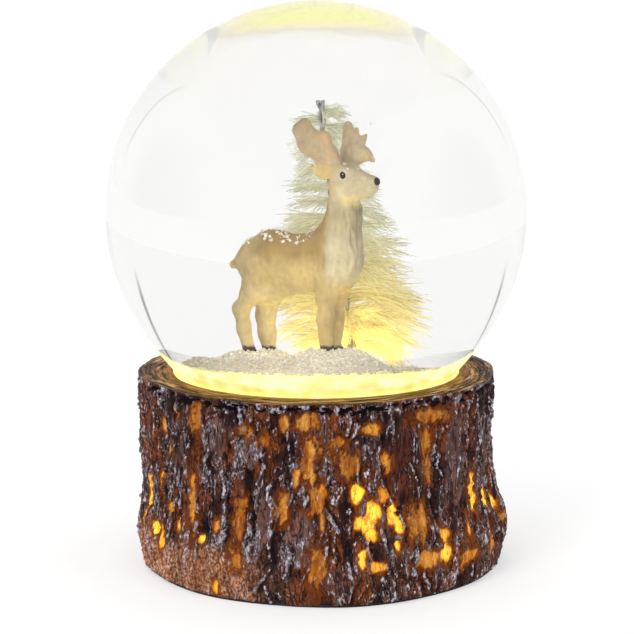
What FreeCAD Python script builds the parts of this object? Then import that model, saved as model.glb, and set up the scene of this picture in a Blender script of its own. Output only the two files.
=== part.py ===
"""Lit snow globe on a tree-stump base.

A glass ball of water with a deer and a bottle-brush tree stands in the cup of a hollow resin stump.
The stump holds three AAA cells, a ring of LEDs, a slide switch and a hinged battery door.

Millimetres, +Z up. The origin is on the table, under the ball's centre. The front is towards -Y.
"""

import FreeCAD
import Part
import math
import os

Vec = FreeCAD.Vector
UP = Vec(0, 0, 1)

# Ball and neck
BALL_R = 50.0
GLASS_T = 2.0
BALL_Z = 84.5
NECK_R = 30.0
NECK_FILLET = 3.0
NECK_LIP_Z = 34.0

# Stump
STUMP_TOP = 46.5
STUMP_BOTTOM = 1.2
STUMP_SECTIONS = (STUMP_BOTTOM, 5.0, 10.0, 16.0, 24.0, 35.0, STUMP_TOP)
STUMP_R = 42.6
CAVITY_R = 38.6
CAVITY_TOP = 39.5
CUP_TOP_R = 34.4
CUP_BORE_R = 31.2
CUP_BORE_Z = 42.5
LUG_RADIUS = 36.0
LUG_R = 3.4
LUG_TOP = 14.0
LUG_ANGLES = (45, 135, 225, 315)
LUG_HOLE_R = 1.1
LUG_HOLE_ROOF = 1.5
SEALANT_GAP = 0.02
SEALANT_BEAD = 1.0
SEALANT_RISE = 3.0
GLUE_GAP = 0.05
GLUE_BOTTOM = CAVITY_TOP + 1.0

# Bottom plate, door and foot pad
PAD_INSET = 0.9
PLATE_R = 38.4
PLATE_BOTTOM = 1.6
PLATE_TOP = 3.6
DOOR_HALF_X = 25.4
DOOR_HALF_Y = 16.8
DOOR_TOP = 3.4
DOOR_GAP = 0.3
EDGE_R = (DOOR_TOP - PLATE_BOTTOM) / 2
HINGE_X = -DOOR_HALF_X + EDGE_R
HINGE_Z = PLATE_BOTTOM + EDGE_R
TAB_T = 0.8
TAB_REACH = 1.4
TAB_SPANS = ((-12.0, -6.0), (6.0, 12.0))
DOOR_SCREW_X = 29.3
DOOR_TAB_REACH = 3.0
GRIP_COUNT = 6
GRIP_PITCH = 1.8
BOSS_R = 2.6
BOSS_TOP = 9.6

# Countersunk screws, as (head radius, head height, shank radius, tip height)
PLATE_SCREW = (2.5, 1.5, 1.05, 11.5)
DOOR_SCREW = (2.1, 1.1, 1.0, 7.2)
HEAD_RECESS = 0.1

# Cells and tray
CELL_R = 5.25
CELL_LENGTH = 44.5
CELL_NUB = 1.0
CELL_Z = 9.3
CELL_PITCH = 11.2
TRAY_IN_X = 25.2
TRAY_IN_Y = 16.9
TRAY_ROOF = 15.2
TRAY_WALL = 1.2
TRAY_TOP = TRAY_ROOF + TRAY_WALL + 0.2
RIB_T = 1.2
RIB_HALF_X = 18.0
RIB_BOTTOM = 12.4
POST_R = 2.1
POST_HOLE_R = 0.95
TAB_NOTCH_TOP = 6.0
CONTACT_T = 0.4
SPRING_TURNS = 4
SPRING_R = 3.0
SPRING_WIRE_R = 0.28
SPRING_GAP = 0.05
LEAD_RISE = 3.5
LEAD_R = 0.45

# Light board
BOARD_R = 15.0
BOARD_Z = 21.0
BOARD_T = 1.2
BOARD_SCREW_RADIUS = 11.0
BOARD_SCREW_ANGLES = (30, 150, 270)
BOARD_HOLE_R = 1.1
UP_LED_R = 2.3
UP_LED_LENGTH = 7.6
UP_LED_RADIUS = 5.0
OUT_LED_R = 1.5
OUT_LED_LENGTH = 5.0
OUT_LED_RADIUS = 12.4

# Switch
SWITCH_Y = 25.4
SWITCH_TRAVEL = 4.0
SWITCH_SCREW_X = (-8.4, 8.4)
SWITCH_EAR_Z = PLATE_TOP + 1.4
PIN_TOP = 8.9
SLIDER_X = -SWITCH_TRAVEL / 2
SLOT_HALF_X = SWITCH_TRAVEL / 2 + 1.9
SLOT_HALF_Y = 1.7
PIN_X = (-4.2, 0.0, 4.2)
KNOB_BOTTOM = 0.75

# Scene inside the ball
STOPPER_R = 27.95
STOPPER_TOP = 45.0
FLANGE_Z = 31.5
PLINTH_R = 27.4
PLINTH_TOP = 53.3
PLINTH_RIM = 0.8
GROUND_TOP = 54.6
FLAKE_COUNT = 30
FLAKE_T = 0.25
DEER_AT = Vec(-2.5, -5.5, BALL_Z)
DEER_HEADING = -30.0
TREE_FOOT = Vec(6.6, 11.0, 55.6)
TREE_TIP = Vec(0.7, 11.0, 102.2)
TREE_STEM_R = 0.75
TREE_OUTLINE = ((4.4, 12.6), (8.5, 14.2), (14.0, 13.2), (20.5, 10.4), (31.0, 6.7), (44.0, 3.4))


def box(x0, x1, y0, y1, z0, z1):
    return Part.makeBox(x1 - x0, y1 - y0, z1 - z0, Vec(x0, y0, z0))


def disc(r, z0, z1, x=0.0, y=0.0):
    return Part.makeCylinder(r, z1 - z0, Vec(x, y, z0))


def ring(r_in, r_out, z0, z1):
    return disc(r_out, z0, z1).cut(disc(r_in, z0 - 1, z1 + 1))


def polar(radius, degrees):
    return radius * math.cos(math.radians(degrees)), radius * math.sin(math.radians(degrees))


def line(a, b):
    return Part.LineSegment(a, b).toShape()


def revolved(edges):
    """The solid that a closed outline in the XZ plane sweeps about Z."""
    outline = Part.Wire(Part.__sortEdges__(edges))
    return Part.Face(outline).revolve(Vec(0, 0, 0), UP, 360)


def revolved_polygon(points):
    corners = [Vec(r, 0, z) for r, z in points]
    return revolved([line(a, b) for a, b in zip(corners, corners[1:] + corners[:1])])


def smooth_loop(points):
    """A closed smooth wire through the points."""
    curve = Part.BSplineCurve()
    curve.interpolate(Points=points, PeriodicFlag=True)
    return Part.Wire([curve.toShape()])


def lofted(loops):
    return Part.makeLoft(loops, True, False)


def fused(shapes):
    return shapes[0].fuse(shapes[1:]).removeSplitter()


# ---------------------------------------------------------------- the ball


def wall_arcs(offset):
    """The ball's and the neck fillet's arcs, offset inwards, as (pole, join, neck start, edges)."""
    radius = BALL_R - offset
    centre = Vec(0, 0, BALL_Z)
    blend = NECK_FILLET + offset
    reach = BALL_R + NECK_FILLET
    mid_r = NECK_R + NECK_FILLET
    mid = Vec(mid_r, 0, BALL_Z - math.sqrt(reach**2 - mid_r**2))
    pole = Vec(0, 0, BALL_Z + radius)
    join = centre + (mid - centre) * (radius / reach)
    side = centre + Vec(radius, 0, 0)
    neck = mid - Vec(blend, 0, 0)
    bend = (join + neck) * 0.5 - mid
    halfway = mid + bend * (blend / bend.Length)
    edges = [Part.Arc(pole, side, join).toShape(), Part.Arc(join, halfway, neck).toShape()]
    return pole, neck, edges


def glass_globe():
    top_out, neck_out, outer = wall_arcs(0.0)
    top_in, neck_in, inner = wall_arcs(GLASS_T)
    lip_out = Vec(neck_out.x, 0, NECK_LIP_Z)
    lip_in = Vec(neck_in.x, 0, NECK_LIP_Z)
    closing = [line(neck_out, lip_out), line(lip_out, lip_in), line(lip_in, neck_in), line(top_in, top_out)]
    return revolved(outer + inner + closing)


def filled_globe(offset, bottom):
    """The ball as one solid down to a height inside the neck."""
    top, neck, edges = wall_arcs(offset)
    foot = Vec(neck.x, 0, bottom)
    axis_foot = Vec(0, 0, bottom)
    return revolved(edges + [line(neck, foot), line(foot, axis_foot), line(axis_foot, top)])


def stopper():
    """The rubber plug in the neck, with a flange that covers the glass lip."""
    return fused([disc(STOPPER_R, NECK_LIP_Z, STOPPER_TOP), disc(NECK_R, FLANGE_Z, NECK_LIP_Z)])


def glow_plinth():
    return revolved_polygon(
        [
            (0, STOPPER_TOP),
            (PLINTH_R, STOPPER_TOP),
            (PLINTH_R, PLINTH_TOP - PLINTH_RIM),
            (PLINTH_R - PLINTH_RIM, PLINTH_TOP),
            (0, PLINTH_TOP),
        ]
    )


def neck_sealant():
    return ring(NECK_R + SEALANT_GAP, NECK_R + SEALANT_BEAD, FLANGE_Z, NECK_LIP_Z + SEALANT_RISE)


def seat_adhesive():
    """The bead that fills the cup between the stump and the ball."""
    fill = revolved_polygon(
        [
            (NECK_R - 1, GLUE_BOTTOM),
            (CUP_BORE_R - GLUE_GAP, GLUE_BOTTOM),
            (CUP_BORE_R - GLUE_GAP, CUP_BORE_Z),
            (CUP_TOP_R - GLUE_GAP, STUMP_TOP),
            (NECK_R - 1, STUMP_TOP),
        ]
    )
    return fill.cut(filled_globe(-GLUE_GAP, CAVITY_TOP - 2))


# ---------------------------------------------------------------- the scene in the ball


def hill_loop(z, half_x, half_y, centre_x):
    points = []
    for step in range(14):
        a = 2 * math.pi * step / 14
        wave = 1 + 0.05 * math.sin(3 * a + z) + 0.03 * math.cos(5 * a)
        points.append(Vec(centre_x + half_x * wave * math.cos(a), half_y * wave * math.sin(a), z))
    return smooth_loop(points)


def snow_ground(standing):
    base = disc(PLINTH_R - 0.2, PLINTH_TOP, GROUND_TOP)
    hill = lofted(
        [
            hill_loop(54.0, 20.5, 17.0, 0.0),
            hill_loop(56.4, 18.0, 13.5, -1.2),
            hill_loop(58.2, 15.6, 10.5, -2.4),
            hill_loop(59.1, 10.0, 7.0, -1.6),
        ]
    )
    ground = fused([base, hill])
    for piece in standing:
        ground = ground.cut(piece)
    return ground


def flake(x, y, z, size, turn):
    corners = []
    for k in range(6):
        dx, dy = polar(size, turn + 60 * k)
        corners.append(Vec(x + dx, y + dy, z))
    outline = Part.makePolygon(corners + corners[:1])
    return Part.Face(outline).extrude(Vec(0, 0, FLAKE_T))


def loose_flakes():
    """Flakes that have settled on the flat rim round the hill."""
    flakes = []
    for k in range(FLAKE_COUNT):
        radius = 24.0 + 2.2 * ((k * 7) % 5) / 5
        x, y = polar(radius, 360 * k / FLAKE_COUNT)
        flakes.append(flake(x, y, GROUND_TOP + 0.03, 0.5 + 0.05 * (k % 4), 17 * k))
    return Part.makeCompound(flakes)


# Deer, in its own frame: x forwards, y towards its left side, z from the ball's centre.


def oval(centre, across, over, half_across, half_over):
    """A smooth closed loop round a centre, in the plane of two directions."""
    points = []
    for step in range(10):
        a = 2 * math.pi * step / 10
        points.append(centre + across * (half_across * math.cos(a)) + over * (half_over * math.sin(a)))
    return smooth_loop(points)


def limb(stations):
    """A tapered body part through stations of (x, y, z, half width sideways, half depth)."""
    centres = [Vec(*s[:3]) for s in stations]
    sideways = Vec(0, 1, 0)
    loops = []
    for k, s in enumerate(stations):
        ahead = centres[min(k + 1, len(centres) - 1)] - centres[max(k - 1, 0)]
        ahead.normalize()
        depth = ahead.cross(sideways)
        depth.normalize()
        loops.append(oval(centres[k], sideways, depth, s[3], s[4]))
    return lofted(loops)


def fore_leg(side):
    y = 1.7 * side
    return limb(
        [
            (7.2, 1.3 * side, -9.0, 1.2, 2.4),
            (6.9, 1.9 * side, -13.5, 1.5, 2.1),
            (6.4, y, -18.5, 1.2, 1.5),
            (6.3, y, -22.5, 1.1, 1.25),
            (6.5, y, -26.0, 1.3, 1.5),
        ]
    )


def hind_leg(side):
    """The outer leg stands further back than the inner one, as in a slow step."""
    y = 2.2 * side
    back = 1.4 if side < 0 else -1.2
    return limb(
        [
            (-8.4, 1.4 * side, -8.6, 1.4, 2.2),
            (-9.4 - 0.3 * back, y, -12.5, 1.7, 2.8),
            (-10.8 - 0.8 * back, y, -17.2, 1.2, 1.6),
            (-9.6 - 0.5 * back, y, -22.5, 1.0, 1.15),
            (-8.6 - 0.3 * back, y, -26.4, 1.25, 1.5),
        ]
    )


def plate_along(points, thickness, origin, forward, rise):
    """A flat smooth-edged plate from 2D points, with its plane along two directions."""
    corners = [origin + forward * u + rise * v for u, v in points]
    across = forward.cross(rise)
    across.normalize()
    face = Part.Face(smooth_loop([c - across * (thickness / 2) for c in corners]))
    return face.extrude(across * thickness)


def antler(side):
    """A palmate antler with blunt tines."""
    outline = [
        (-0.6, -0.6), (-1.6, 2.0), (-4.0, 5.0), (-4.6, 8.0), (-3.0, 9.6), (-1.6, 8.0),
        (-0.4, 8.6), (0.6, 7.4), (1.4, 7.2), (1.9, 5.0), (1.6, 2.0), (0.8, -0.6),
    ]
    rise = Vec(-0.15, 0.62 * side, 1)
    rise.normalize()
    forward = Vec(1, 0.25 * side, 0)
    forward.normalize()
    return plate_along(outline, 1.3, Vec(8.3, 1.3 * side, 8.2), forward, rise)


def ear(side):
    return limb(
        [
            (8.0, 1.6 * side, 7.6, 0.5, 0.7),
            (6.4, 3.2 * side, 8.4, 0.6, 1.1),
            (4.6, 4.8 * side, 9.2, 0.2, 0.3),
        ]
    )


def deer_figurine():
    torso = limb(
        [
            (-12.6, 0, -9.0, 1.6, 2.4),
            (-11.0, 0, -8.8, 3.2, 4.2),
            (-7.0, 0, -8.4, 3.9, 5.2),
            (-1.0, 0, -8.9, 3.9, 5.1),
            (4.5, 0, -8.7, 3.9, 5.6),
            (8.6, 0, -8.4, 2.9, 4.6),
            (10.2, 0, -8.0, 1.2, 2.2),
        ]
    )
    neck = limb(
        [
            (5.2, 0, -7.5, 3.0, 4.3),
            (7.0, 0, -3.0, 2.5, 3.6),
            (8.4, 0, 1.0, 2.2, 2.9),
            (9.0, 0, 5.0, 2.1, 2.7),
        ]
    )
    head = limb(
        [
            (6.4, 0, 6.6, 1.4, 1.8),
            (8.0, 0, 6.4, 2.4, 2.9),
            (10.5, 0, 6.1, 2.2, 2.8),
            (13.4, 0, 6.0, 1.5, 1.9),
            (15.6, 0, 6.1, 0.9, 1.2),
        ]
    )
    tail = limb([(-12.0, 0, -8.2, 0.8, 0.9), (-13.4, 0, -9.2, 0.8, 0.9), (-14.2, 0, -10.2, 0.4, 0.4)])
    parts = [torso, neck, head, tail]
    for side in (1, -1):
        parts += [fore_leg(side), hind_leg(side), ear(side), antler(side)]
    deer = fused(parts)
    deer.rotate(Vec(0, 0, 0), UP, DEER_HEADING)
    deer.translate(DEER_AT)
    return deer


def tree_parts():
    """The wire trunk and the envelope of its bristles."""
    axis = TREE_TIP - TREE_FOOT
    length = axis.Length
    trunk = Part.makeCylinder(TREE_STEM_R, length, TREE_FOOT, axis)
    inner = TREE_STEM_R + 0.02
    skirt_rise, top_rise = TREE_OUTLINE[0][0], TREE_OUTLINE[-1][0] + 1.5
    corners = [(inner, skirt_rise)] + [(r, rise) for rise, r in TREE_OUTLINE] + [(inner, top_rise)]
    cone = revolved_polygon(corners)
    turn = FreeCAD.Rotation(UP, axis)
    cone.Placement = FreeCAD.Placement(TREE_FOOT, turn)
    return trunk, cone


# ---------------------------------------------------------------- the stump


def stump_radius(angle, z):
    """The bark's mean radius: a waist, a root swelling on the right, a worn foot at the left, and lobes."""
    flare = max(0.0, (18.0 - z) / 18.0) * (1.1 + 0.6 * math.cos(angle))
    waist = -0.5 * math.sin(math.pi * min(1.0, max(0.0, (z - 14.0) / 32.0)))
    lobes = 0.45 * math.sin(3 * angle + 0.4) + 0.3 * math.cos(5 * angle - 0.08 * z)
    lobes += 0.2 * math.sin(8 * angle)
    root = 2.3 * math.exp(-(((z - 10.0) / 7.0) ** 2)) * max(0.0, math.cos(angle + 0.15)) ** 3
    worn = 1.2 * max(0.0, 1.0 - z / 7.0) * max(0.0, math.cos(angle - 3.6)) ** 2
    return STUMP_R + flare + waist + lobes + root - worn


def stump_loop(z, inset=0.0):
    points = []
    count = 26
    for step in range(count):
        a = 2 * math.pi * step / count
        r = stump_radius(a, z) - inset
        points.append(Vec(r * math.cos(a), r * math.sin(a), z))
    return smooth_loop(points)


def stump_shell():
    body = lofted([stump_loop(z) for z in STUMP_SECTIONS])
    shell = body.cut(disc(CAVITY_R, 0, CAVITY_TOP))
    lugs = []
    for angle in LUG_ANGLES:
        x, y = polar(LUG_RADIUS, angle)
        lugs.append(disc(LUG_R, PLATE_TOP, LUG_TOP, x, y).common(disc(CAVITY_R + 0.5, 0, LUG_TOP)))
    shell = fused([shell] + lugs)
    for angle in LUG_ANGLES:
        x, y = polar(LUG_RADIUS, angle)
        shell = shell.cut(disc(LUG_HOLE_R, PLATE_TOP - 0.1, LUG_TOP - LUG_HOLE_ROOF, x, y))
    cup = revolved_polygon(
        [
            (0, CAVITY_TOP - 1),
            (CUP_BORE_R, CAVITY_TOP - 1),
            (CUP_BORE_R, CUP_BORE_Z),
            (CUP_TOP_R, STUMP_TOP),
            (CUP_TOP_R, STUMP_TOP + 1),
            (0, STUMP_TOP + 1),
        ]
    )
    return shell.cut(cup)


def foam_pad():
    outer = Part.Face(stump_loop(STUMP_BOTTOM, PAD_INSET))
    outer.translate(Vec(0, 0, -STUMP_BOTTOM))
    return outer.extrude(Vec(0, 0, STUMP_BOTTOM)).cut(disc(CAVITY_R + 0.2, -1, STUMP_BOTTOM + 1))


# ---------------------------------------------------------------- bottom plate and door


def screw(x, y, size):
    """A countersunk screw driven upwards into the plate, with a cross slot in its head."""
    head_r, head_h, shank_r, tip_z = size
    head_bottom = PLATE_BOTTOM + HEAD_RECESS
    head = Part.makeCone(head_r, shank_r, head_h, Vec(x, y, head_bottom))
    shank = disc(shank_r, head_bottom + head_h * 0.9, tip_z, x, y)
    body = fused([head, shank])
    reach = head_r * 0.6
    depth = head_h * 0.5
    for half_x, half_y in ((reach, 0.25), (0.25, reach)):
        slot = box(x - half_x, x + half_x, y - half_y, y + half_y, head_bottom - 1, head_bottom + depth)
        body = body.cut(slot)
    return body


def bottom_screws():
    places = [polar(LUG_RADIUS, angle) for angle in LUG_ANGLES]
    return Part.makeCompound([screw(x, y, PLATE_SCREW) for x, y in places])


def along_y(r, y0, y1, x, z):
    return Part.makeCylinder(r, y1 - y0, Vec(x, y0, z), Vec(0, 1, 0))


def bottom_plate():
    plate = disc(PLATE_R, PLATE_BOTTOM, PLATE_TOP)
    boss = disc(BOSS_R, PLATE_TOP - 0.1, BOSS_TOP, DOOR_SCREW_X, 0)
    posts = [disc(1.7, PLATE_TOP - 0.1, SWITCH_EAR_Z, x, SWITCH_Y) for x in SWITCH_SCREW_X]
    plate = fused([plate, boss] + posts)
    low, high = PLATE_BOTTOM - 1, PLATE_TOP + 1
    half_x, half_y = DOOR_HALF_X + DOOR_GAP, DOOR_HALF_Y + DOOR_GAP
    cuts = [
        box(-half_x, half_x, -half_y, half_y, low, high),
        box(DOOR_HALF_X, DOOR_SCREW_X + DOOR_TAB_REACH + 0.4, -4.0, 4.0, low, DOOR_TOP + 0.1),
        disc(1.35, low, BOSS_TOP - 1.2, DOOR_SCREW_X, 0),
        box(-SLOT_HALF_X, SLOT_HALF_X, SWITCH_Y - SLOT_HALF_Y, SWITCH_Y + SLOT_HALF_Y, low, high),
    ]
    for angle in LUG_ANGLES:
        x, y = polar(LUG_RADIUS, angle)
        cuts.append(disc(1.5, low, high, x, y))
        cuts.append(Part.makeCone(2.9, 1.3, 1.7, Vec(x, y, PLATE_BOTTOM)))
    for x in SWITCH_SCREW_X:
        cuts.append(disc(0.75, PLATE_TOP - 1.0, PLATE_TOP + 2, x, SWITCH_Y))
    for cut in cuts:
        plate = plate.cut(cut)
    return plate


def battery_door():
    """A lid that tilts down on its rounded edge, with two tabs that hook over the plate beside it."""
    lid = box(HINGE_X, DOOR_HALF_X, -DOOR_HALF_Y, DOOR_HALF_Y, PLATE_BOTTOM, DOOR_TOP)
    edge = along_y(EDGE_R, -DOOR_HALF_Y, DOOR_HALF_Y, HINGE_X, HINGE_Z)
    reach = DOOR_SCREW_X + DOOR_TAB_REACH
    pieces = [lid, edge, box(DOOR_HALF_X - 1, reach, -3.6, 3.6, PLATE_BOTTOM, DOOR_TOP)]
    tab_low = PLATE_TOP + 0.1
    for y0, y1 in TAB_SPANS:
        root = HINGE_X + 0.7
        pieces.append(box(HINGE_X - 0.5, root, y0, y1, DOOR_TOP - 0.3, tab_low + TAB_T))
        pieces.append(box(-DOOR_HALF_X - TAB_REACH, root, y0, y1, tab_low, tab_low + TAB_T))
    door = fused(pieces)
    door = door.cut(disc(1.15, 0, 10, DOOR_SCREW_X, 0))
    door = door.cut(Part.makeCone(2.35, 1.15, 1.3, Vec(DOOR_SCREW_X, 0, PLATE_BOTTOM)))
    for k in range(GRIP_COUNT):
        x = 12.0 + GRIP_PITCH * k
        door = door.cut(box(x, x + 0.8, -7.0, 7.0, PLATE_BOTTOM - 1, PLATE_BOTTOM + 0.4))
    return door


def door_screw():
    return screw(DOOR_SCREW_X, 0, DOOR_SCREW)


# ---------------------------------------------------------------- cells and tray


def cell_rows():
    """(y, direction) of each cell: neighbours lie head to tail."""
    return [(-CELL_PITCH, 1), (0.0, -1), (CELL_PITCH, 1)]


def cell(y, way):
    end = TRAY_IN_X - CONTACT_T
    along = Vec(-way, 0, 0)
    nose = Vec(way * end, y, CELL_Z)
    nub = Part.makeCylinder(1.9, CELL_NUB + 0.2, nose, along)
    can_start = nose + along * CELL_NUB
    can = Part.makeCylinder(CELL_R, CELL_LENGTH - CELL_NUB, can_start, along)
    return fused([nub, can])


def battery_tray():
    x, y = TRAY_IN_X + TRAY_WALL, TRAY_IN_Y + TRAY_WALL
    tray = box(-x, x, -y, y, PLATE_TOP, TRAY_TOP)
    tray = tray.cut(box(-TRAY_IN_X, TRAY_IN_X, -TRAY_IN_Y, TRAY_IN_Y, PLATE_TOP - 1, TRAY_ROOF))
    ribs = []
    for rib_y in (-CELL_PITCH / 2, CELL_PITCH / 2):
        rib = box(-RIB_HALF_X, RIB_HALF_X, rib_y - RIB_T / 2, rib_y + RIB_T / 2, RIB_BOTTOM, TRAY_ROOF + 0.1)
        for row_y, _ in cell_rows():
            rib = rib.cut(Part.makeCylinder(CELL_R + 0.2, 60, Vec(-30, row_y, CELL_Z), Vec(1, 0, 0)))
        ribs.append(rib)
    posts = []
    for angle in BOARD_SCREW_ANGLES:
        px, py = polar(BOARD_SCREW_RADIUS, angle)
        posts.append(disc(POST_R, TRAY_TOP - 0.1, BOARD_Z, px, py))
    tray = fused([tray] + ribs + posts)
    for angle in BOARD_SCREW_ANGLES:
        px, py = polar(BOARD_SCREW_RADIUS, angle)
        tray = tray.cut(disc(POST_HOLE_R, TRAY_TOP + 0.4, BOARD_Z + 1, px, py))
    for x0, row_y in ((TRAY_IN_X - 0.5, CELL_PITCH), (-x - 0.5, -CELL_PITCH)):
        hole = Part.makeCylinder(0.8, TRAY_WALL + 1.0, Vec(x0, row_y, CELL_Z + LEAD_RISE), Vec(1, 0, 0))
        tray = tray.cut(hole)
    for y0, y1 in TAB_SPANS:
        tray = tray.cut(box(-x - 1, -TRAY_IN_X + 1, y0 - 0.5, y1 + 0.5, PLATE_TOP - 1, TAB_NOTCH_TOP))
    return tray


def battery_contacts():
    plates = []
    for row_y, _ in cell_rows():
        for sign in (-1, 1):
            x0, x1 = sorted((sign * TRAY_IN_X, sign * (TRAY_IN_X - CONTACT_T)))
            plates.append(box(x0, x1, row_y - 4.4, row_y + 4.4, CELL_Z - 3.2, CELL_Z + 4.6))
    return Part.makeCompound(plates)


def coil(turns, coil_r, wire_r, rise):
    """A spring standing on Z, of half circles that each end where the next one begins."""
    step = rise / (2 * turns)
    halves = []
    for half in range(2 * turns):
        side = 1 if half % 2 == 0 else -1
        start = Vec(side * coil_r, 0, half * step)
        end = Vec(-side * coil_r, 0, (half + 1) * step)
        middle = (start + end) * 0.5
        section = Part.Face(Part.Wire([Part.Circle(start, Vec(0, 1, 0), wire_r).toShape()]))
        turning = (start - middle).cross(Vec(0, side, 0))
        halves.append(section.revolve(middle, turning, 180))
    return fused(halves)


def battery_springs():
    room = 2 * (TRAY_IN_X - CONTACT_T) - CELL_LENGTH
    rise = room - 2 * SPRING_WIRE_R - 2 * SPRING_GAP
    springs = []
    for row_y, way in cell_rows():
        spring = coil(SPRING_TURNS, SPRING_R, SPRING_WIRE_R, rise)
        seat_x = TRAY_IN_X - CONTACT_T - SPRING_WIRE_R - SPRING_GAP
        spring.Placement = FreeCAD.Placement(
            Vec(-way * seat_x, row_y, CELL_Z), FreeCAD.Rotation(UP, Vec(way, 0, 0))
        )
        springs.append(spring)
    return Part.makeCompound(springs)


# ---------------------------------------------------------------- lights and wiring


def led_board():
    board = disc(BOARD_R, BOARD_Z, BOARD_Z + BOARD_T)
    for angle in BOARD_SCREW_ANGLES:
        x, y = polar(BOARD_SCREW_RADIUS, angle)
        board = board.cut(disc(BOARD_HOLE_R, BOARD_Z - 1, BOARD_Z + 3, x, y))
    return board


def board_screws():
    screws = []
    for angle in BOARD_SCREW_ANGLES:
        x, y = polar(BOARD_SCREW_RADIUS, angle)
        head = disc(1.8, BOARD_Z + BOARD_T, BOARD_Z + BOARD_T + 1.1, x, y)
        shank = disc(0.9, BOARD_Z - 3.6, BOARD_Z + BOARD_T + 0.1, x, y)
        slot = box(x - 1.2, x + 1.2, y - 0.2, y + 0.2, BOARD_Z + BOARD_T + 0.6, BOARD_Z + BOARD_T + 2)
        screws.append(fused([head, shank]).cut(slot))
    return Part.makeCompound(screws)


def led(base, along, r, length):
    """A domed LED with its flange, standing on a point."""
    flange = Part.makeCylinder(r + 0.4, 1.0, base, along)
    can = Part.makeCylinder(r, length - r, base, along)
    dome = Part.makeSphere(r, base + along * (length - r))
    return fused([flange, can, dome])


def led_emitters():
    top = BOARD_Z + BOARD_T
    leds = []
    for angle in (90, 210, 330):
        x, y = polar(UP_LED_RADIUS, angle)
        leds.append(led(Vec(x, y, top), UP, UP_LED_R, UP_LED_LENGTH))
    for angle in range(0, 360, 60):
        x, y = polar(OUT_LED_RADIUS, angle)
        outward = Vec(x, y, 0)
        outward.normalize()
        leds.append(led(Vec(x, y, top + 2.1), outward, OUT_LED_R, OUT_LED_LENGTH))
    return Part.makeCompound(leds)


def board_components():
    top = BOARD_Z + BOARD_T
    chip = box(7.6, 11.2, -1.5, 1.5, top, top + 1.3)
    resistors = [box(-9.6, -8.0, y, y + 0.9, top, top + 0.5) for y in (-2.4, -0.4, 1.6)]
    capacitor = disc(1.3, top, top + 3.0, *polar(9.6, 240))
    return Part.makeCompound([chip, capacitor] + resistors)


def lead(points):
    """An insulated wire along straight runs joined by tangent arcs."""
    edges = []
    at = points[0]
    for before, corner, after in zip(points, points[1:], points[2:]):
        back, ahead = before - corner, after - corner
        runs = min(back.Length, ahead.Length)
        back.normalize()
        ahead.normalize()
        turn = math.pi - back.getAngle(ahead)
        trim = 0.45 * runs
        radius = trim / math.tan(turn / 2)
        first, last = corner + back * trim, corner + ahead * trim
        middle = back + ahead
        middle.normalize()
        centre = corner + middle * (radius / math.cos(turn / 2))
        halfway = centre - middle * radius
        edges.append(line(at, first))
        edges.append(Part.Arc(first, halfway, last).toShape())
        at = last
    edges.append(line(at, points[-1]))
    path = Part.Wire(edges)
    ahead = points[1] - points[0]
    section = Part.Wire([Part.Circle(points[0], ahead, LEAD_R).toShape()])
    return path.makePipeShell([section], True, True)


def lead_red():
    """From the cells' positive contact to the switch."""
    out_z = CELL_Z + LEAD_RISE
    return lead(
        [
            Vec(TRAY_IN_X, CELL_PITCH, out_z),
            Vec(29.2, CELL_PITCH, out_z),
            Vec(31.8, 13.6, 12.5),
            Vec(31.0, 17.6, 12.0),
            Vec(27.0, 20.2, 11.6),
            Vec(22.2, 20.4, 12.0),
            Vec(17.0, 20.8, 14.2),
            Vec(12.4, 22.0, 17.2),
            Vec(8.6, 23.6, 18.4),
            Vec(5.4, 25.0, 16.6),
            Vec(PIN_X[2], SWITCH_Y, 13.0),
            Vec(PIN_X[2], SWITCH_Y, PIN_TOP),
        ]
    )


def lead_black():
    """From the cells' negative contact to the light board."""
    out_z = CELL_Z + LEAD_RISE
    return lead(
        [
            Vec(-TRAY_IN_X, -CELL_PITCH, out_z),
            Vec(-29.2, -CELL_PITCH, out_z),
            Vec(-32.2, -11.3, 15.6),
            Vec(-32.6, -11.6, 20.0),
            Vec(-29.6, -11.4, 24.4),
            Vec(-24.6, -10.4, 27.2),
            Vec(-18.6, -8.6, 28.6),
            Vec(-13.4, -6.6, 28.2),
            Vec(-10.2, -5.4, 25.9),
            Vec(-10.2, -5.4, BOARD_Z + BOARD_T),
        ]
    )


def lead_white():
    """From the switch to the light board."""
    return lead(
        [
            Vec(PIN_X[0], SWITCH_Y, PIN_TOP),
            Vec(PIN_X[0], SWITCH_Y, 13.8),
            Vec(-3.9, 26.0, 19.0),
            Vec(-2.8, 24.2, 24.0),
            Vec(-1.4, 20.6, 27.6),
            Vec(-0.4, 16.2, 29.0),
            Vec(0.0, 12.9, 27.2),
            Vec(0.0, 12.0, 24.6),
            Vec(0.0, 12.0, BOARD_Z + BOARD_T),
        ]
    )


# ---------------------------------------------------------------- switch


def switch_body():
    case = box(-6.6, 6.6, SWITCH_Y - 3.3, SWITCH_Y + 3.3, PLATE_TOP + 0.1, 8.4)
    ears = box(-10.6, 10.6, SWITCH_Y - 2.4, SWITCH_Y + 2.4, SWITCH_EAR_Z, SWITCH_EAR_Z + 0.5)
    pins = [disc(0.5, 8.3, PIN_TOP, x, SWITCH_Y) for x in PIN_X]
    body = fused([case, ears] + pins)
    body = body.cut(box(-4.9, 4.9, SWITCH_Y - 2.3, SWITCH_Y + 2.3, PLATE_TOP - 1, 6.4))
    for x in SWITCH_SCREW_X:
        body = body.cut(disc(0.9, PLATE_TOP, 8, x, SWITCH_Y))
    return body


def switch_screws():
    screws = []
    for x in SWITCH_SCREW_X:
        head = disc(1.5, SWITCH_EAR_Z + 0.5, SWITCH_EAR_Z + 1.5, x, SWITCH_Y)
        shank = disc(0.7, PLATE_TOP - 0.6, SWITCH_EAR_Z + 0.6, x, SWITCH_Y)
        screws.append(fused([head, shank]))
    return Part.makeCompound(screws)


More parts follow.
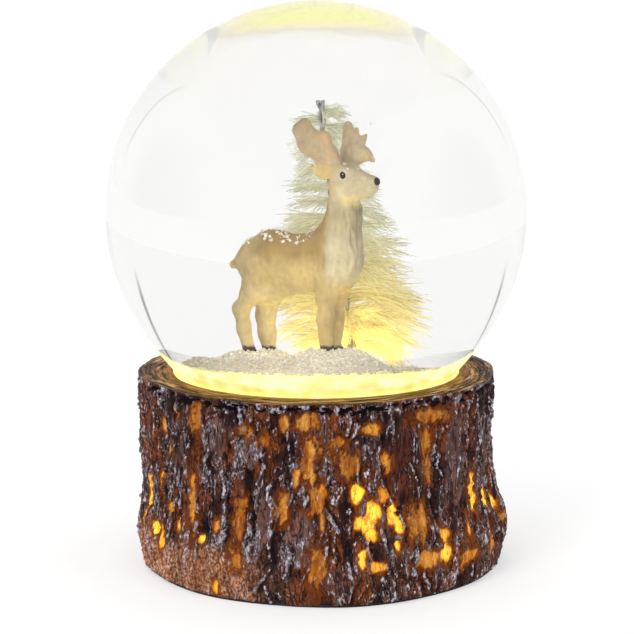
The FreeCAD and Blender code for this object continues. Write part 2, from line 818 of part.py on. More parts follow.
def switch_knob():
    slider = box(SLIDER_X - 2.5, SLIDER_X + 2.5, SWITCH_Y - 2.1, SWITCH_Y + 2.1, PLATE_TOP + 0.3, 6.0)
    thumb = box(SLIDER_X - 1.7, SLIDER_X + 1.7, SWITCH_Y - 1.4, SWITCH_Y + 1.4, KNOB_BOTTOM, PLATE_TOP + 0.4)
    knob = fused([slider, thumb])
    for groove in (-1.1, -0.1, 0.9):
        x = SLIDER_X + groove
        knob = knob.cut(box(x - 0.2, x + 0.2, SWITCH_Y - 2, SWITCH_Y + 2, 0, KNOB_BOTTOM + 0.4))
    return knob


# ---------------------------------------------------------------- build


def main():
    deer = deer_figurine()
    trunk, bristles = tree_parts()
    plinth = glow_plinth()
    ground = snow_ground([deer, trunk])
    flakes = loose_flakes()
    water = filled_globe(GLASS_T + 0.02, STOPPER_TOP)
    bristles = bristles.cut(ground)
    for piece in (plinth, ground, deer, trunk, bristles, flakes):
        water = water.cut(piece)

    nodes = {
        "glass_globe": glass_globe(),
        "water_fill": water,
        "stopper": stopper(),
        "glow_plinth": plinth,
        "snow_ground": ground,
        "loose_flakes": flakes,
        "deer_figurine": deer,
        "tree_wire": trunk,
        "tree_bristles": bristles,
        "neck_sealant": neck_sealant(),
        "seat_adhesive": seat_adhesive(),
        "stump_shell": stump_shell(),
        "foam_pad": foam_pad(),
        "bottom_plate": bottom_plate(),
        "bottom_screws": bottom_screws(),
        "battery_door": battery_door(),
        "door_screw": door_screw(),
        "battery_tray": battery_tray(),
        "battery_contacts": battery_contacts(),
        "battery_springs": battery_springs(),
        "led_board": led_board(),
        "led_emitters": led_emitters(),
        "board_components": board_components(),
        "board_screws": board_screws(),
        "switch_body": switch_body(),
        "switch_knob": switch_knob(),
        "switch_screws": switch_screws(),
        "lead_red": lead_red(),
        "lead_black": lead_black(),
        "lead_white": lead_white(),
    }
    for number, (row_y, way) in enumerate(cell_rows(), 1):
        nodes[f"battery_{number}"] = cell(row_y, way)

    os.makedirs("parts", exist_ok=True)
    for name, shape in nodes.items():
        print(name, len(shape.Solids), "valid", shape.isValid(), "volume", round(shape.Volume, 1))
        shape.exportStep(f"parts/{name}.step")


main()
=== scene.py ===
"""Looks of the snow globe: glass and water, deer, bottle-brush tree, snow and the glowing bark stump."""

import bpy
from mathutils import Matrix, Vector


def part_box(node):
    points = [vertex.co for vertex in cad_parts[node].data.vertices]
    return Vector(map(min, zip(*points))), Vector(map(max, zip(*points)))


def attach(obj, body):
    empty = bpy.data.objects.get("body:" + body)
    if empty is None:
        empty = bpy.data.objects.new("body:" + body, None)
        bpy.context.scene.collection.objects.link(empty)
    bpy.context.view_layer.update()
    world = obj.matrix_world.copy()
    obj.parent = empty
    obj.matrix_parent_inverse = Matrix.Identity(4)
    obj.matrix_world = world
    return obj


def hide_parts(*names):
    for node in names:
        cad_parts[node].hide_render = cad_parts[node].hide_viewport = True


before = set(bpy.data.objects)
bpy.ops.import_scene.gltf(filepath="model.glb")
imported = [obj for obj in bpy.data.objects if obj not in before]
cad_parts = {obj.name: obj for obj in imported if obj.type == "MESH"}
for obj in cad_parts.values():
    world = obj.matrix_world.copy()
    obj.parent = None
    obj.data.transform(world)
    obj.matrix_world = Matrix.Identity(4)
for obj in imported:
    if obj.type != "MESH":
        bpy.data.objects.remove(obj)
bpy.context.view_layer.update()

import math

import bpy
import numpy as np
from mathutils import Vector

MM = 0.001
ROOT = "globe_and_base"
TAU = 2 * math.pi

# Sizes in millimetres. The ones that the frame doesn't give are the CAD part's own.
globe_low, globe_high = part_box("glass_globe")
BALL_R = 50.0
BALL_Z = globe_high.z / MM - BALL_R
GLASS_T = 2.0
NECK_R = 30.0
NECK_FILLET = 3.0
LIP_Z = globe_low.z / MM
PLINTH_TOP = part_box("glow_plinth")[1].z / MM
PLINTH_BOTTOM = 45.0
PLINTH_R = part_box("glow_plinth")[1].x / MM
WATER_BOTTOM = PLINTH_TOP - 6.0
STUMP_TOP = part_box("stump_shell")[1].z / MM
STUMP_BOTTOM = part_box("stump_shell")[0].z / MM
STUMP_R = 42.6
CUP_R = 34.4
CUP_FLOOR = 42.5
NECK_HOLE_R = 31.2
CAVITY_R = 38.6
CAVITY_TOP = 39.5
LUG_R = 3.4
LUG_TOP = 14.0
LUG_BOTTOM = 3.7
LUG_RADIUS = 35.0
LUG_ANGLES = (45, 135, 225, 315)


# ---------------------------------------------------------------- noise


def hashed(cells, seed):
    """Repeatable numbers from 0 to 1 for whole-numbered cells (n, 3)."""
    h = cells[:, 0] * 374761393 + cells[:, 1] * 668265263 + cells[:, 2] * 1440662683
    h = h + seed * 1274126177
    h = (h ^ (h >> 13)) * 1274126177
    h = (h ^ (h >> 16)) * 2246822519
    return ((h ^ (h >> 15)) & 0xFFFFFF) / float(0xFFFFFF)


def smooth_noise(points, seed):
    """Gradient noise, about -1 to 1, with one feature per unit."""
    cell = np.floor(points).astype(np.int64)
    part = points - cell
    blend = part**3 * (part * (part * 6 - 15) + 10)
    total = np.zeros(len(points))
    for corner in np.ndindex(2, 2, 2):
        at = cell + np.array(corner)
        weight = np.prod(np.where(corner, blend, 1 - blend), axis=1)
        offset = part - np.array(corner)
        slope = np.stack([hashed(at, seed + k) * 2 - 1 for k in range(3)], axis=1)
        total += weight * (slope * offset).sum(axis=1)
    return total * 1.6


def fractal(points, size, seed, octaves):
    """Layers of noise; size is the largest feature, one number or one per axis."""
    p = points / np.asarray(size, float)
    total = np.zeros(len(points))
    strength = 1.0
    for octave in range(octaves):
        total += strength * smooth_noise(p * 2.0**octave, seed + 17 * octave)
        strength *= 0.5
    return total


def ramp(x, low, high):
    """A smooth step from 0 at low to 1 at high."""
    t = np.clip((x - low) / (high - low), 0, 1)
    return t * t * (3 - 2 * t)


# ---------------------------------------------------------------- meshes


def new_piece(name, verts_mm, faces, materials, body=ROOT, smooth=True):
    """A mesh object from points in millimetres, riding on a CAD body."""
    mesh = bpy.data.meshes.new(name)
    mesh.from_pydata((np.asarray(verts_mm, float) * MM).tolist(), [], [list(f) for f in faces])
    mesh.validate()
    for material in materials:
        mesh.materials.append(material)
    mesh.polygons.foreach_set("use_smooth", [smooth] * len(mesh.polygons))
    mesh.update()
    piece = bpy.data.objects.new(name, mesh)
    bpy.context.scene.collection.objects.link(piece)
    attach(piece, body)
    return piece


def paint(piece, name, values):
    """Stores one number per point for the materials to read."""
    layer = piece.data.attributes.new(name, "FLOAT", "POINT")
    layer.data.foreach_set("value", np.asarray(values, np.float32))


def grid_faces(rows, columns):
    """Quads of a grid of points laid out row by row, with the last column joined to the first."""
    r, c = np.meshgrid(np.arange(rows - 1), np.arange(columns), indexing="ij")
    a = r * columns + c
    b = r * columns + (c + 1) % columns
    return np.stack([a, b, b + columns, a + columns], axis=-1).reshape(-1, 4)


def lathe(profile, segments):
    """Points and faces of a (r, z) profile, drawn downwards, turned about Z; its ends on the axis close."""
    angles = np.arange(segments) * TAU / segments
    profile = np.asarray(profile, float)
    rim = profile[(profile[:, 0] > 1e-9)]
    x = rim[:, :1] * np.cos(angles)
    y = rim[:, :1] * np.sin(angles)
    z = np.repeat(rim[:, 1:], segments, axis=1)
    verts = np.stack([x, y, z], axis=-1).reshape(-1, 3)
    faces = [tuple(f[::-1]) for f in grid_faces(len(rim), segments)]
    for end, first in ((0, 0), (-1, (len(rim) - 1) * segments)):
        if profile[end, 0] <= 1e-9:
            verts = np.vstack([verts, [0, 0, profile[end, 1]]])
            pole = len(verts) - 1
            for k in range(segments):
                pair = (first + k, first + (k + 1) % segments)
                faces.append((pole, *pair) if end == 0 else (pole, *pair[::-1]))
    return verts, faces


def arc(centre, radius, start, end, count):
    """Points on an arc in the (r, z) plane between two angles in degrees."""
    angles = np.radians(np.linspace(start, end, count))
    return [(centre[0] + radius * math.cos(a), centre[1] + radius * math.sin(a)) for a in angles]


def joined(parts):
    """One set of points and faces from several."""
    verts, faces, start = [], [], 0
    for v, f in parts:
        verts.append(np.asarray(v, float))
        faces += [tuple(i + start for i in face) for face in f]
        start += len(v)
    return np.vstack(verts), faces


# ---------------------------------------------------------------- material nodes


class Nodes:
    """A short way to write a node tree."""

    def __init__(self, tree):
        self.tree = tree

    def node(self, kind, **settings):
        """A new node; each setting is one of its properties or, failing that, one of its inputs."""
        made = self.tree.nodes.new(kind)
        for key, value in settings.items():
            if hasattr(made, key):
                setattr(made, key, value)
            else:
                made.inputs[key.replace("_", " ")].default_value = value
        return made

    def join(self, output, target):
        self.tree.links.new(output, target)

    def noise(self, size_mm, detail=4.0, stretch=(1, 1, 1), distort=0.0):
        """Noise from 0 to 1 with features of that size, stretched along the axes."""
        where = self.node("ShaderNodeTexCoord").outputs["Object"]
        scaled = self.node("ShaderNodeMapping")
        scaled.inputs["Scale"].default_value = [1000.0 / (size_mm * s) for s in stretch]
        self.join(where, scaled.inputs["Vector"])
        settings = {"Scale": 1.0, "Detail": detail, "Roughness": 0.55, "Distortion": distort}
        noise = self.node("ShaderNodeTexNoise", **settings)
        self.join(scaled.outputs["Vector"], noise.inputs["Vector"])
        return noise.outputs["Fac"]

    def attribute(self, name):
        return self.node("ShaderNodeAttribute", attribute_name=name).outputs["Fac"]

    def feed(self, socket, value):
        """Sets a socket to a number or a colour, or joins it to an output."""
        if isinstance(value, tuple):
            socket.default_value = (*value, 1)
        elif isinstance(value, (int, float)):
            socket.default_value = value
        else:
            self.join(value, socket)

    def math(self, operation, a, b=0.0):
        made = self.node("ShaderNodeMath", operation=operation)
        self.feed(made.inputs[0], a)
        self.feed(made.inputs[1], b)
        return made.outputs[0]

    def times(self, a, b):
        return self.math("MULTIPLY", a, b)

    def plus(self, a, b):
        return self.math("ADD", a, b)

    def minus(self, a, b):
        return self.math("SUBTRACT", a, b)

    def most(self, a, b):
        return self.math("MAXIMUM", a, b)

    def swayed(self, value, noise, amount):
        """The value pushed up and down by a noise."""
        return self.plus(value, self.times(self.minus(noise, 0.5), amount))

    def span(self, value, low, high, to_low=0.0, to_high=1.0):
        """The value's range low..high stretched smoothly to another range."""
        made = self.node("ShaderNodeMapRange", interpolation_type="SMOOTHSTEP")
        limits = {"From Min": low, "From Max": high, "To Min": to_low, "To Max": to_high}
        for name, number in limits.items():
            made.inputs[name].default_value = number
        self.join(value, made.inputs["Value"])
        return made.outputs["Result"]

    def colours(self, value, stops):
        """A colour ramp from (position, (r, g, b)) stops."""
        made = self.node("ShaderNodeValToRGB")
        elements = made.color_ramp.elements
        while len(elements) < len(stops):
            elements.new(0.5)
        for element, (position, colour) in zip(elements, stops):
            element.position = position
            element.color = (*colour, 1)
        self.join(value, made.inputs["Fac"])
        return made.outputs["Color"]

    def mix(self, amount, a, b, how="MIX"):
        made = self.node("ShaderNodeMix", data_type="RGBA", blend_type=how)
        for index, value in ((0, amount), (6, a), (7, b)):
            self.feed(made.inputs[index], value)
        return made.outputs[2]


class Shader(Nodes):
    """A material's node tree round one Principled shader."""

    def __init__(self, name):
        self.material = bpy.data.materials.new(name)
        self.material.use_nodes = True
        super().__init__(self.material.node_tree)
        self.surface = self.tree.nodes["Principled BSDF"]

    def set(self, **values):
        for key, value in values.items():
            self.surface.inputs[key.replace("_", " ")].default_value = value

    def bump(self, height, depth_mm, strength=1.0):
        made = self.node("ShaderNodeBump", Strength=strength, Distance=depth_mm * MM)
        self.join(height, made.inputs["Height"])
        self.join(made.outputs["Normal"], self.surface.inputs["Normal"])

    def colour(self, output):
        self.join(output, self.surface.inputs["Base Color"])

    def rough(self, output):
        self.join(output, self.surface.inputs["Roughness"])

    def glow(self, colour, strength):
        self.feed(self.surface.inputs["Emission Color"], colour)
        self.feed(self.surface.inputs["Emission Strength"], strength)


def clear(name, ior, colour=(1, 1, 1)):
    """Glass or water."""
    shader = Shader(name)
    shader.set(Base_Color=(*colour, 1), Roughness=0.0, IOR=ior, Transmission_Weight=1.0)
    return shader.material


def moulded(name, colour, roughness, grain_mm, depth_mm, metallic=0.0, tone=0.25):
    """Plastic, rubber or metal with a fine grain and a slight change of tone."""
    shader = Shader(name)
    shader.set(Metallic=metallic)
    soft = shader.noise(4.0, detail=3)
    dark = tuple(c * (1 - tone) for c in colour)
    light = tuple(min(1.0, c * (1 + tone)) for c in colour)
    shader.colour(shader.colours(soft, [(0.3, dark), (0.7, light)]))
    shader.rough(shader.span(soft, 0.3, 0.7, roughness - 0.07, roughness + 0.07))
    shader.bump(shader.noise(grain_mm, detail=2), depth_mm)
    return shader.material


# ---------------------------------------------------------------- glass and water

GLASS_IOR = 1.5
# Glass over water, 1.5 / 1.333
GLASS_TO_WATER_IOR = 1.125


def wall_profile(offset, bottom, count):
    """The ball's wall from the pole into the neck, offset inwards, as (r, z) points."""
    mid_r = NECK_R + NECK_FILLET
    reach = BALL_R + NECK_FILLET
    mid_z = BALL_Z - math.sqrt(reach**2 - mid_r**2)
    join_angle = math.degrees(math.atan2(mid_z - BALL_Z, mid_r))
    ball = arc((0, BALL_Z), BALL_R - offset, 90, join_angle, count)
    blend = arc((mid_r, mid_z), NECK_FILLET + offset, 180 + join_angle, 180, 10)
    neck = NECK_R - offset
    straight = [(neck, z) for z in np.linspace(mid_z, bottom, 6)[1:]]
    return [(0.0, BALL_Z + BALL_R - offset)] + ball[1:] + blend[1:] + straight


def glass_globe():
    """Glass meets air on its outside and water on its inside, so its two faces bend light differently."""
    outside = lathe(wall_profile(0.0, LIP_Z, 110), 256)
    inside_verts, inside_faces = lathe(wall_profile(GLASS_T, LIP_Z, 110), 256)
    inside = (inside_verts, [f[::-1] for f in inside_faces])
    lip = lathe([(NECK_R, LIP_Z), (NECK_R - GLASS_T, LIP_Z)], 256)
    verts, faces = joined([outside, inside, lip])
    materials = [clear("glass", GLASS_IOR), clear("glass_to_water", GLASS_TO_WATER_IOR)]
    piece = new_piece("glass_ball", verts, faces, materials)
    slots = np.zeros(len(faces), int)
    slots[len(outside[1]) : len(outside[1]) + len(inside_faces)] = 1
    piece.data.polygons.foreach_set("material_index", slots)
    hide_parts("glass_globe")


def water():
    """Water down past the top of the lit block; the glass's inner face already bends the light."""
    profile = wall_profile(GLASS_T + 0.03, WATER_BOTTOM, 90)
    verts, faces = lathe(profile + [(0.0, profile[-1][1])], 192)
    piece = new_piece("water", verts, faces, [clear("water", 1.0, (0.857, 0.857, 0.850))])
    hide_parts("water_fill")


# ---------------------------------------------------------------- bark

BARK_COLUMNS = 700
BARK_ROWS = 112
BARK_TURNS = np.arange(BARK_COLUMNS) * TAU / BARK_COLUMNS
BARK_HEIGHTS = np.linspace(STUMP_BOTTOM, STUMP_TOP, BARK_ROWS)
TOP_ROWS = 20

# How many spots and plates the unseen side has, and how many short ridges there are all round
BACK_SPOTS = 46
BACK_PLATES = 14
SHORT_RIDGES = 84

# Places where light comes through the thin resin, as (angle, height, half width, half height, brightness).
# Brightness 0.2 is worn ochre that hardly glows, 1 is full yellow.
THIN_SPOTS = (
    (190, 31, 1.6, 4.5, 0.25), (209, 37, 1.0, 1.6, 0.45), (214, 33, 1.0, 2.4, 0.3),
    (230, 42, 1.8, 4.2, 0.22), (219, 41.5, 1.0, 2.0, 0.3), (197, 17, 1.4, 6.0, 0.75),
    (208, 24.5, 0.8, 3.4, 0.4), (228, 22, 1.5, 6.5, 0.4), (207, 12.6, 1.7, 1.8, 1.0),
    (213, 11, 1.1, 3.0, 0.6), (208, 6, 1.2, 1.0, 0.9), (222, 15.5, 1.2, 1.4, 0.6),
    (216, 18.5, 1.3, 1.2, 0.4), (232, 13.5, 0.7, 0.8, 0.9), (238, 17, 0.8, 1.6, 0.5),
    (246, 19, 1.3, 6.5, 0.25), (245, 10.5, 1.5, 3.0, 0.3), (237, 3, 0.8, 1.6, 0.6),
    (260, 41.7, 1.2, 2.0, 0.2), (267, 42.6, 3.0, 2.0, 0.25), (268, 36, 2.0, 3.6, 0.3),
    (268, 31.5, 1.3, 3.0, 0.3), (264, 29.6, 0.8, 2.4, 0.4), (272, 27, 0.8, 2.0, 0.4),
    (260, 22, 1.7, 3.0, 0.28), (270, 24, 1.7, 2.8, 0.28), (272, 19, 0.8, 2.6, 0.25),
    (270, 9, 1.7, 5.5, 0.25), (248, 40, 1.8, 1.2, 0.15), (254, 38, 1.8, 1.6, 0.12),
    (277, 38, 2.0, 1.2, 0.22), (280, 32.5, 2.2, 2.9, 0.27), (283, 26, 1.4, 2.4, 0.95),
    (287, 40.4, 1.7, 1.2, 0.4), (292, 33, 1.2, 2.4, 0.4), (291, 25.2, 1.2, 2.0, 0.45),
    (286, 19.2, 2.6, 2.0, 0.8), (288, 21.5, 1.7, 2.4, 0.85), (287, 16.6, 1.2, 2.2, 0.8),
    (294, 20.5, 1.3, 2.6, 0.9), (296, 18, 1.1, 2.4, 0.95), (295, 13.7, 0.9, 1.6, 0.9),
    (284, 11.4, 1.0, 2.6, 0.9), (288, 9, 2.6, 1.3, 0.6), (308, 42, 4.4, 1.6, 0.22),
    (307, 36.5, 1.7, 3.4, 0.25), (308, 30, 1.0, 4.0, 0.2), (302, 17.6, 4.0, 3.6, 0.2),
    (313, 14, 1.3, 1.4, 0.6), (307, 8.8, 3.6, 1.8, 0.4), (313, 9.6, 1.3, 2.2, 0.8),
    (323, 7.5, 4.0, 2.2, 0.4), (330, 22, 1.6, 4.8, 0.7), (331, 19.6, 1.3, 2.4, 1.0),
    (342, 18.5, 1.5, 2.8, 1.0), (351, 15.5, 1.4, 1.9, 0.9), (354, 11, 2.4, 2.2, 0.3),
    (353, 32, 1.5, 4.0, 0.25), (324, 13.5, 0.9, 3.4, 0.5), (338, 9.5, 1.4, 4.0, 0.35),
)

# Smoother raised plates, as (angle, height, half width, half height, tone); tone 0 is red-brown, 1 is mauve
PLATES = (
    (265, 15.5, 3.3, 6.2, 0.9), (249, 35.0, 2.3, 4.2, 0.8), (254, 21.0, 2.3, 8.5, 0.7),
    (276, 35.0, 2.0, 2.8, 1.0), (299, 32.0, 5.0, 7.5, 0.0), (319, 31.0, 3.6, 11.0, 0.6),
    (238, 37.0, 2.6, 5.5, 0.7), (291, 18.0, 1.4, 4.0, 1.0), (285, 13.5, 1.0, 2.6, 0.8),
    (222, 30.0, 2.2, 7.0, 0.4), (340, 30.0, 1.6, 9.0, 0.4), (276, 6.0, 3.0, 3.0, 0.3),
)

# Raised edges with the pale dry-brushed paint, as lines of (angle, height)
PALE_EDGES = (
    ((246, 45.5), (246.5, 39)), ((262, 45.5), (261.5, 39), (263, 33)), ((253, 37), (254, 31)),
    ((249, 21), (250, 16), (248.5, 10)), ((257, 31), (256, 25), (257.5, 19)),
    ((273, 18), (273, 12), (270, 6)), ((279, 45.5), (279, 39.5)), ((289, 39), (291, 27), (295.5, 21)),
    ((311, 39), (308.5, 31), (308, 22), (310, 14)), ((321, 36), (319.5, 29), (319, 23)),
    ((300, 32), (303, 28), (305, 23.5)), ((273, 24.5), (277, 17)), ((347, 11), (338, 5), (330, 2)),
    ((225, 32), (227, 22), (230, 16)), ((240, 30), (242, 20), (240, 12)), ((232, 44), (234, 36)),
    ((331, 42), (333, 33), (331, 27)), ((290, 18), (291, 12)), ((256, 19), (256, 8), (251, 3)),
    ((244, 37.5), (247, 40), (251, 39), (252, 33)), ((271, 26), (273, 20), (270, 12), (266, 6)),
    ((262, 14), (261, 7)), ((336, 14), (333, 8)), ((345, 24), (341, 14)), ((324, 44), (326, 33)),
    ((285, 15), (287, 11), (286, 7)),
)


def stump_radius(angle, z):
    """The bark's mean radius: wide foot, slight waist, lobes, a root on each side, the left foot worn."""
    foot = np.clip((18.0 - z) / 18.0, 0, None) * (1.1 + 0.6 * np.cos(angle))
    waist = 0.5 * np.sin(math.pi * np.clip((z - 14.0) / 32.0, 0, 1))
    lobes = 0.45 * np.sin(3 * angle + 0.4) + 0.3 * np.cos(5 * angle - 0.08 * z) + 0.2 * np.sin(8 * angle)
    right_root = 2.3 * np.exp(-(((z - 10.0) / 7.0) ** 2)) * np.clip(np.cos(angle + 0.15), 0, 1) ** 3
    left_root = 1.2 * np.exp(-(((z - 9.0) / 6.0) ** 2)) * np.clip(-np.cos(angle), 0, 1) ** 2
    worn = 1.2 * np.clip(1.0 - z / 7.0, 0, 1) * np.clip(np.cos(angle - 3.6), 0, 1) ** 2
    return STUMP_R + foot - waist + lobes + right_root + left_root - worn


def cell_edges(points, seed):
    """Distance from the nearest border between jittered cells, and a number for each cell."""
    cell = np.floor(points).astype(np.int64)
    near = np.full(len(points), np.inf)
    second = np.full(len(points), np.inf)
    label = np.zeros(len(points))
    for corner in np.ndindex(3, 3, 3):
        at = cell + np.array(corner) - 1
        jitter = np.stack([hashed(at, seed + k) for k in range(3)], axis=1)
        gap = np.linalg.norm(at + jitter - points, axis=1)
        closer = gap < near
        second = np.where(closer, near, np.minimum(second, gap))
        label = np.where(closer, hashed(at, seed + 3), label)
        near = np.minimum(near, gap)
    return second - near, label


def line_distance(u, z, points):
    """Distance in millimetres from a broken line on the unrolled bark."""
    best = np.full(len(u), np.inf)
    for (a0, z0), (a1, z1) in zip(points, points[1:]):
        start = np.array([math.radians(a0) * STUMP_R, z0])
        step = np.array([math.radians(a1) * STUMP_R, z1]) - start
        from_start = np.stack([u - start[0], z - start[1]], axis=1)
        t = np.clip(from_start @ step / (step @ step), 0, 1)
        best = np.minimum(best, np.linalg.norm(from_start - t[:, None] * step, axis=1))
    return best


def spot_distance(u, z, spot):
    """0 at the middle of a spot or plate, 1 at its edge."""
    angle, height, half_w, half_h, _ = spot
    across = u - math.radians(angle) * STUMP_R
    across = (across + math.pi * STUMP_R) % (TAU * STUMP_R) - math.pi * STUMP_R
    return np.hypot(across / half_w, (z - height) / half_h)


def blurred(grid, reach):
    """A running mean round the columns and along the rows."""
    out = grid
    for _ in range(2):
        out = sum(np.roll(out, s, axis=1) for s in range(-reach, reach + 1)) / (2 * reach + 1)
        padded = np.pad(out, ((reach, reach), (0, 0)), mode="edge")
        out = sum(padded[s : s + len(grid)] for s in range(2 * reach + 1)) / (2 * reach + 1)
    return out


def more_spots():
    """Thin spots for the side that the photo doesn't show, in the same mix of sizes."""
    rng = np.random.default_rng(21)
    spots = []
    for k in range(BACK_SPOTS):
        angle = 2 + 184 * (k + rng.uniform(-0.4, 0.4)) / BACK_SPOTS
        low = rng.uniform(0, 1) ** 1.3
        bright = 0.2 + 0.8 * (1 - low) * rng.uniform(0.2, 1)
        spots.append((angle, 4 + 38 * low, rng.uniform(0.8, 2.4), rng.uniform(1.4, 5.0), bright))
    return tuple(spots)


def more_plates():
    """Plates on the side that the listed ones don't reach."""
    rng = np.random.default_rng(41)
    plates = []
    for k in range(BACK_PLATES):
        angle = 185 * (k + 0.5) / BACK_PLATES
        height = rng.uniform(8, 38)
        plates.append((angle, height, rng.uniform(1.6, 4), rng.uniform(3, 9), rng.uniform(0, 1)))
    return tuple(plates)


def more_edges():
    """Short crooked ridges all the way round."""
    rng = np.random.default_rng(33)
    edges = []
    for k in range(SHORT_RIDGES):
        angle = 360 * (k + rng.uniform(-0.4, 0.4)) / SHORT_RIDGES
        top = rng.uniform(8, 45)
        length = rng.uniform(3, 11)
        middle = angle + rng.uniform(-2.5, 2.5)
        end = angle + rng.uniform(-1, 1)
        edges.append(((angle, top), (middle, top - length / 2), (end, top - length)))
    return tuple(edges)


class BarkPlaces:
    """Every point of the outer wall, row by row, with the noises that its features share."""

    def __init__(self):
        angle, z = (grid.ravel() for grid in np.meshgrid(BARK_TURNS, BARK_HEIGHTS))
        self.z = z
        self.u = angle * STUMP_R
        self.p = np.stack([STUMP_R * np.cos(angle), STUMP_R * np.sin(angle), z], axis=1)
        self.warp = np.stack([fractal(self.p, (5, 5, 9), 100 + 10 * k, 3) for k in range(3)], axis=1)
        self.grit = fractal(self.p, (1.0, 1.0, 1.5), 57, 3)
        self.wobble = 0.5 * fractal(self.p, (1.6, 1.6, 3.0), 71, 3)
        foot = ramp(16 - z + 3 * fractal(self.p, (9, 9, 9), 61, 2), 0, 9)
        left = ramp(np.cos(angle - math.radians(205)), 0.5, 0.9)
        self.crumbly = foot * np.maximum(left, 0.12)

    def blank(self):
        return np.zeros(len(self.z))


def furrows(at):
    """Height of cracked cells, strands and grit, and the number of each small cell."""
    q = at.p + at.warp * (1.6, 1.6, 2.5)
    border, label = cell_edges(q / (7.0, 7.0, 30.0), 7)
    small_border, small_label = cell_edges(q / (2.6, 2.6, 10.0), 31)
    strands = 1 - np.abs(fractal(q, (2.0, 2.0, 12.0), 43, 3)) * 2.2
    height = label - 0.5 - 0.6 * np.exp(-((border / 0.05) ** 2))
    small = 0.7 * (small_label - 0.5) - 0.5 * np.exp(-((small_border / 0.08) ** 2))
    height += small * (1 - 0.6 * at.crumbly)
    height += 0.34 * strands * (1 - 0.7 * at.crumbly) + 0.26 * at.grit * (0.7 + 0.9 * at.crumbly)
    return height, small_label


def thin_places(at, small_label):
    """How thin the stain is, and how brightly the light comes through it."""
    thin, bright = at.blank(), at.blank()
    chipped = at.wobble + 0.55 * (small_label - 0.5)
    for spot in THIN_SPOTS + more_spots():
        away = spot_distance(at.u, at.z, spot)
        brightness = spot[4]
        patch = (0.66 + 0.34 * min(1.0, 1.5 * brightness)) * ramp(1.2 - away - chipped, 0.0, 0.4)
        stained_edge = 0.46 * ramp(2.3 - away - chipped, 0.0, 1.0)
        thin = np.maximum(thin, np.maximum(patch, stained_edge))
        core = ramp(1.2 - away - 0.8 * chipped, 0.0, 0.6)
        halo = 0.20 * ramp(3.2 - away, 0.0, 2.4)
        bright = np.maximum(bright, (core + halo * (1 - core)) * brightness)
    return thin, bright


def raised_plates(at):
    """Where the smoother plates are, and the tone of each."""
    plate, tone = at.blank(), at.blank()
    for spot in PLATES + more_plates():
        here = ramp(1.15 - spot_distance(at.u, at.z, spot) - 0.45 * at.wobble, 0.0, 0.3)
        tone = np.where(here > plate, spot[4], tone)
        plate = np.maximum(plate, here)
    return plate, tone


def brushed_ridges(at):
    """Crooked ridges that take the pale paint, and next to each a groove that also carries a painted shadow.
    """
    pale, shadowed_groove = at.blank(), at.blank()
    u, z = at.u + 0.9 * at.warp[:, 0], at.z + at.warp[:, 2]
    for edge in PALE_EDGES + more_edges():
        pale = np.maximum(pale, np.exp(-((line_distance(u, z, edge) / 0.35) ** 2)))
        shadowed_groove = np.maximum(shadowed_groove, np.exp(-((line_distance(u - 0.75, z, edge) / 0.42) ** 2)))
    pale *= 0.5 + 0.5 * ramp(fractal(at.p, (2.5, 2.5, 3.5), 111, 2), -0.4, 0.3)
    return pale, shadowed_groove


def notches(at):
    """Chips broken out of the bark just under its top edge."""
    chips = ramp(at.z + 0.9 * at.grit, STUMP_TOP - 3.4, STUMP_TOP - 1.2)
    lip = ramp(at.z, STUMP_TOP - 0.8, STUMP_TOP - 0.3)
    return chips * (1 - lip) * ramp(fractal(at.p, (1.7, 1.7, 1.2), 83, 3), -0.1, 0.25)


def bark_wall():
    """Height over the mean radius as a grid of rows by columns, and the paint masks point by point."""
    at = BarkPlaces()
    height, small_label = furrows(at)
    thin, bright = thin_places(at, small_label)
    plate, tone = raised_plates(at)
    pale, shadowed_groove = brushed_ridges(at)
    height -= 0.7 * thin
    height = height * (1 - 0.55 * plate) + 0.45 * plate
    height += 0.75 * pale * (0.8 + 0.4 * at.grit) - 0.6 * shadowed_groove * (1 - pale)
    grid = (BARK_ROWS, BARK_COLUMNS)
    crest = height - blurred(height.reshape(grid), 3).ravel()

    torn = ramp(-fractal(at.p, (2.4, 2.4, 1.6), 83, 3), 0.1, 0.35)
    top_edge = ramp(at.z, STUMP_TOP - 3.0, STUMP_TOP - 1.6) * torn
    pale = np.maximum(pale * (1 - 0.6 * thin), 0.7 * top_edge)
    rim = ramp(at.z, STUMP_TOP - 2.2, STUMP_TOP)
    notch = notches(at)
    height = height * (1 - 0.75 * rim) - 1.1 * notch
    tuck = ramp(-at.z, -STUMP_BOTTOM - 1.2, -STUMP_BOTTOM)
    height = height * (1 - 0.4 * tuck) - 0.35 * tuck
    # Painted shade: black in the hollows of the relief and in the groove next to each pale ridge
    deep_shade = np.maximum(ramp(-height, 0.2, 1.0) * (1 - thin), 0.9 * shadowed_groove * (1 - pale))
    masks = {
        "crest": np.clip(0.5 + crest * 0.9, 0, 1),
        "deep_shade": deep_shade * (1 - 0.5 * at.crumbly),
        "thin": thin * (1 - rim),
        "bright": bright * (1 - 0.8 * rim),
        "pale": np.clip(pale * (0.9 + 0.5 * at.grit), 0, 1),
        "plate": plate * (1 - rim),
        "tone": tone,
        "crumbly": at.crumbly,
        "shaded": np.clip(notch * 1.2, 0, 1),
        "ring": at.blank(),
    }
    return height.reshape(grid), masks


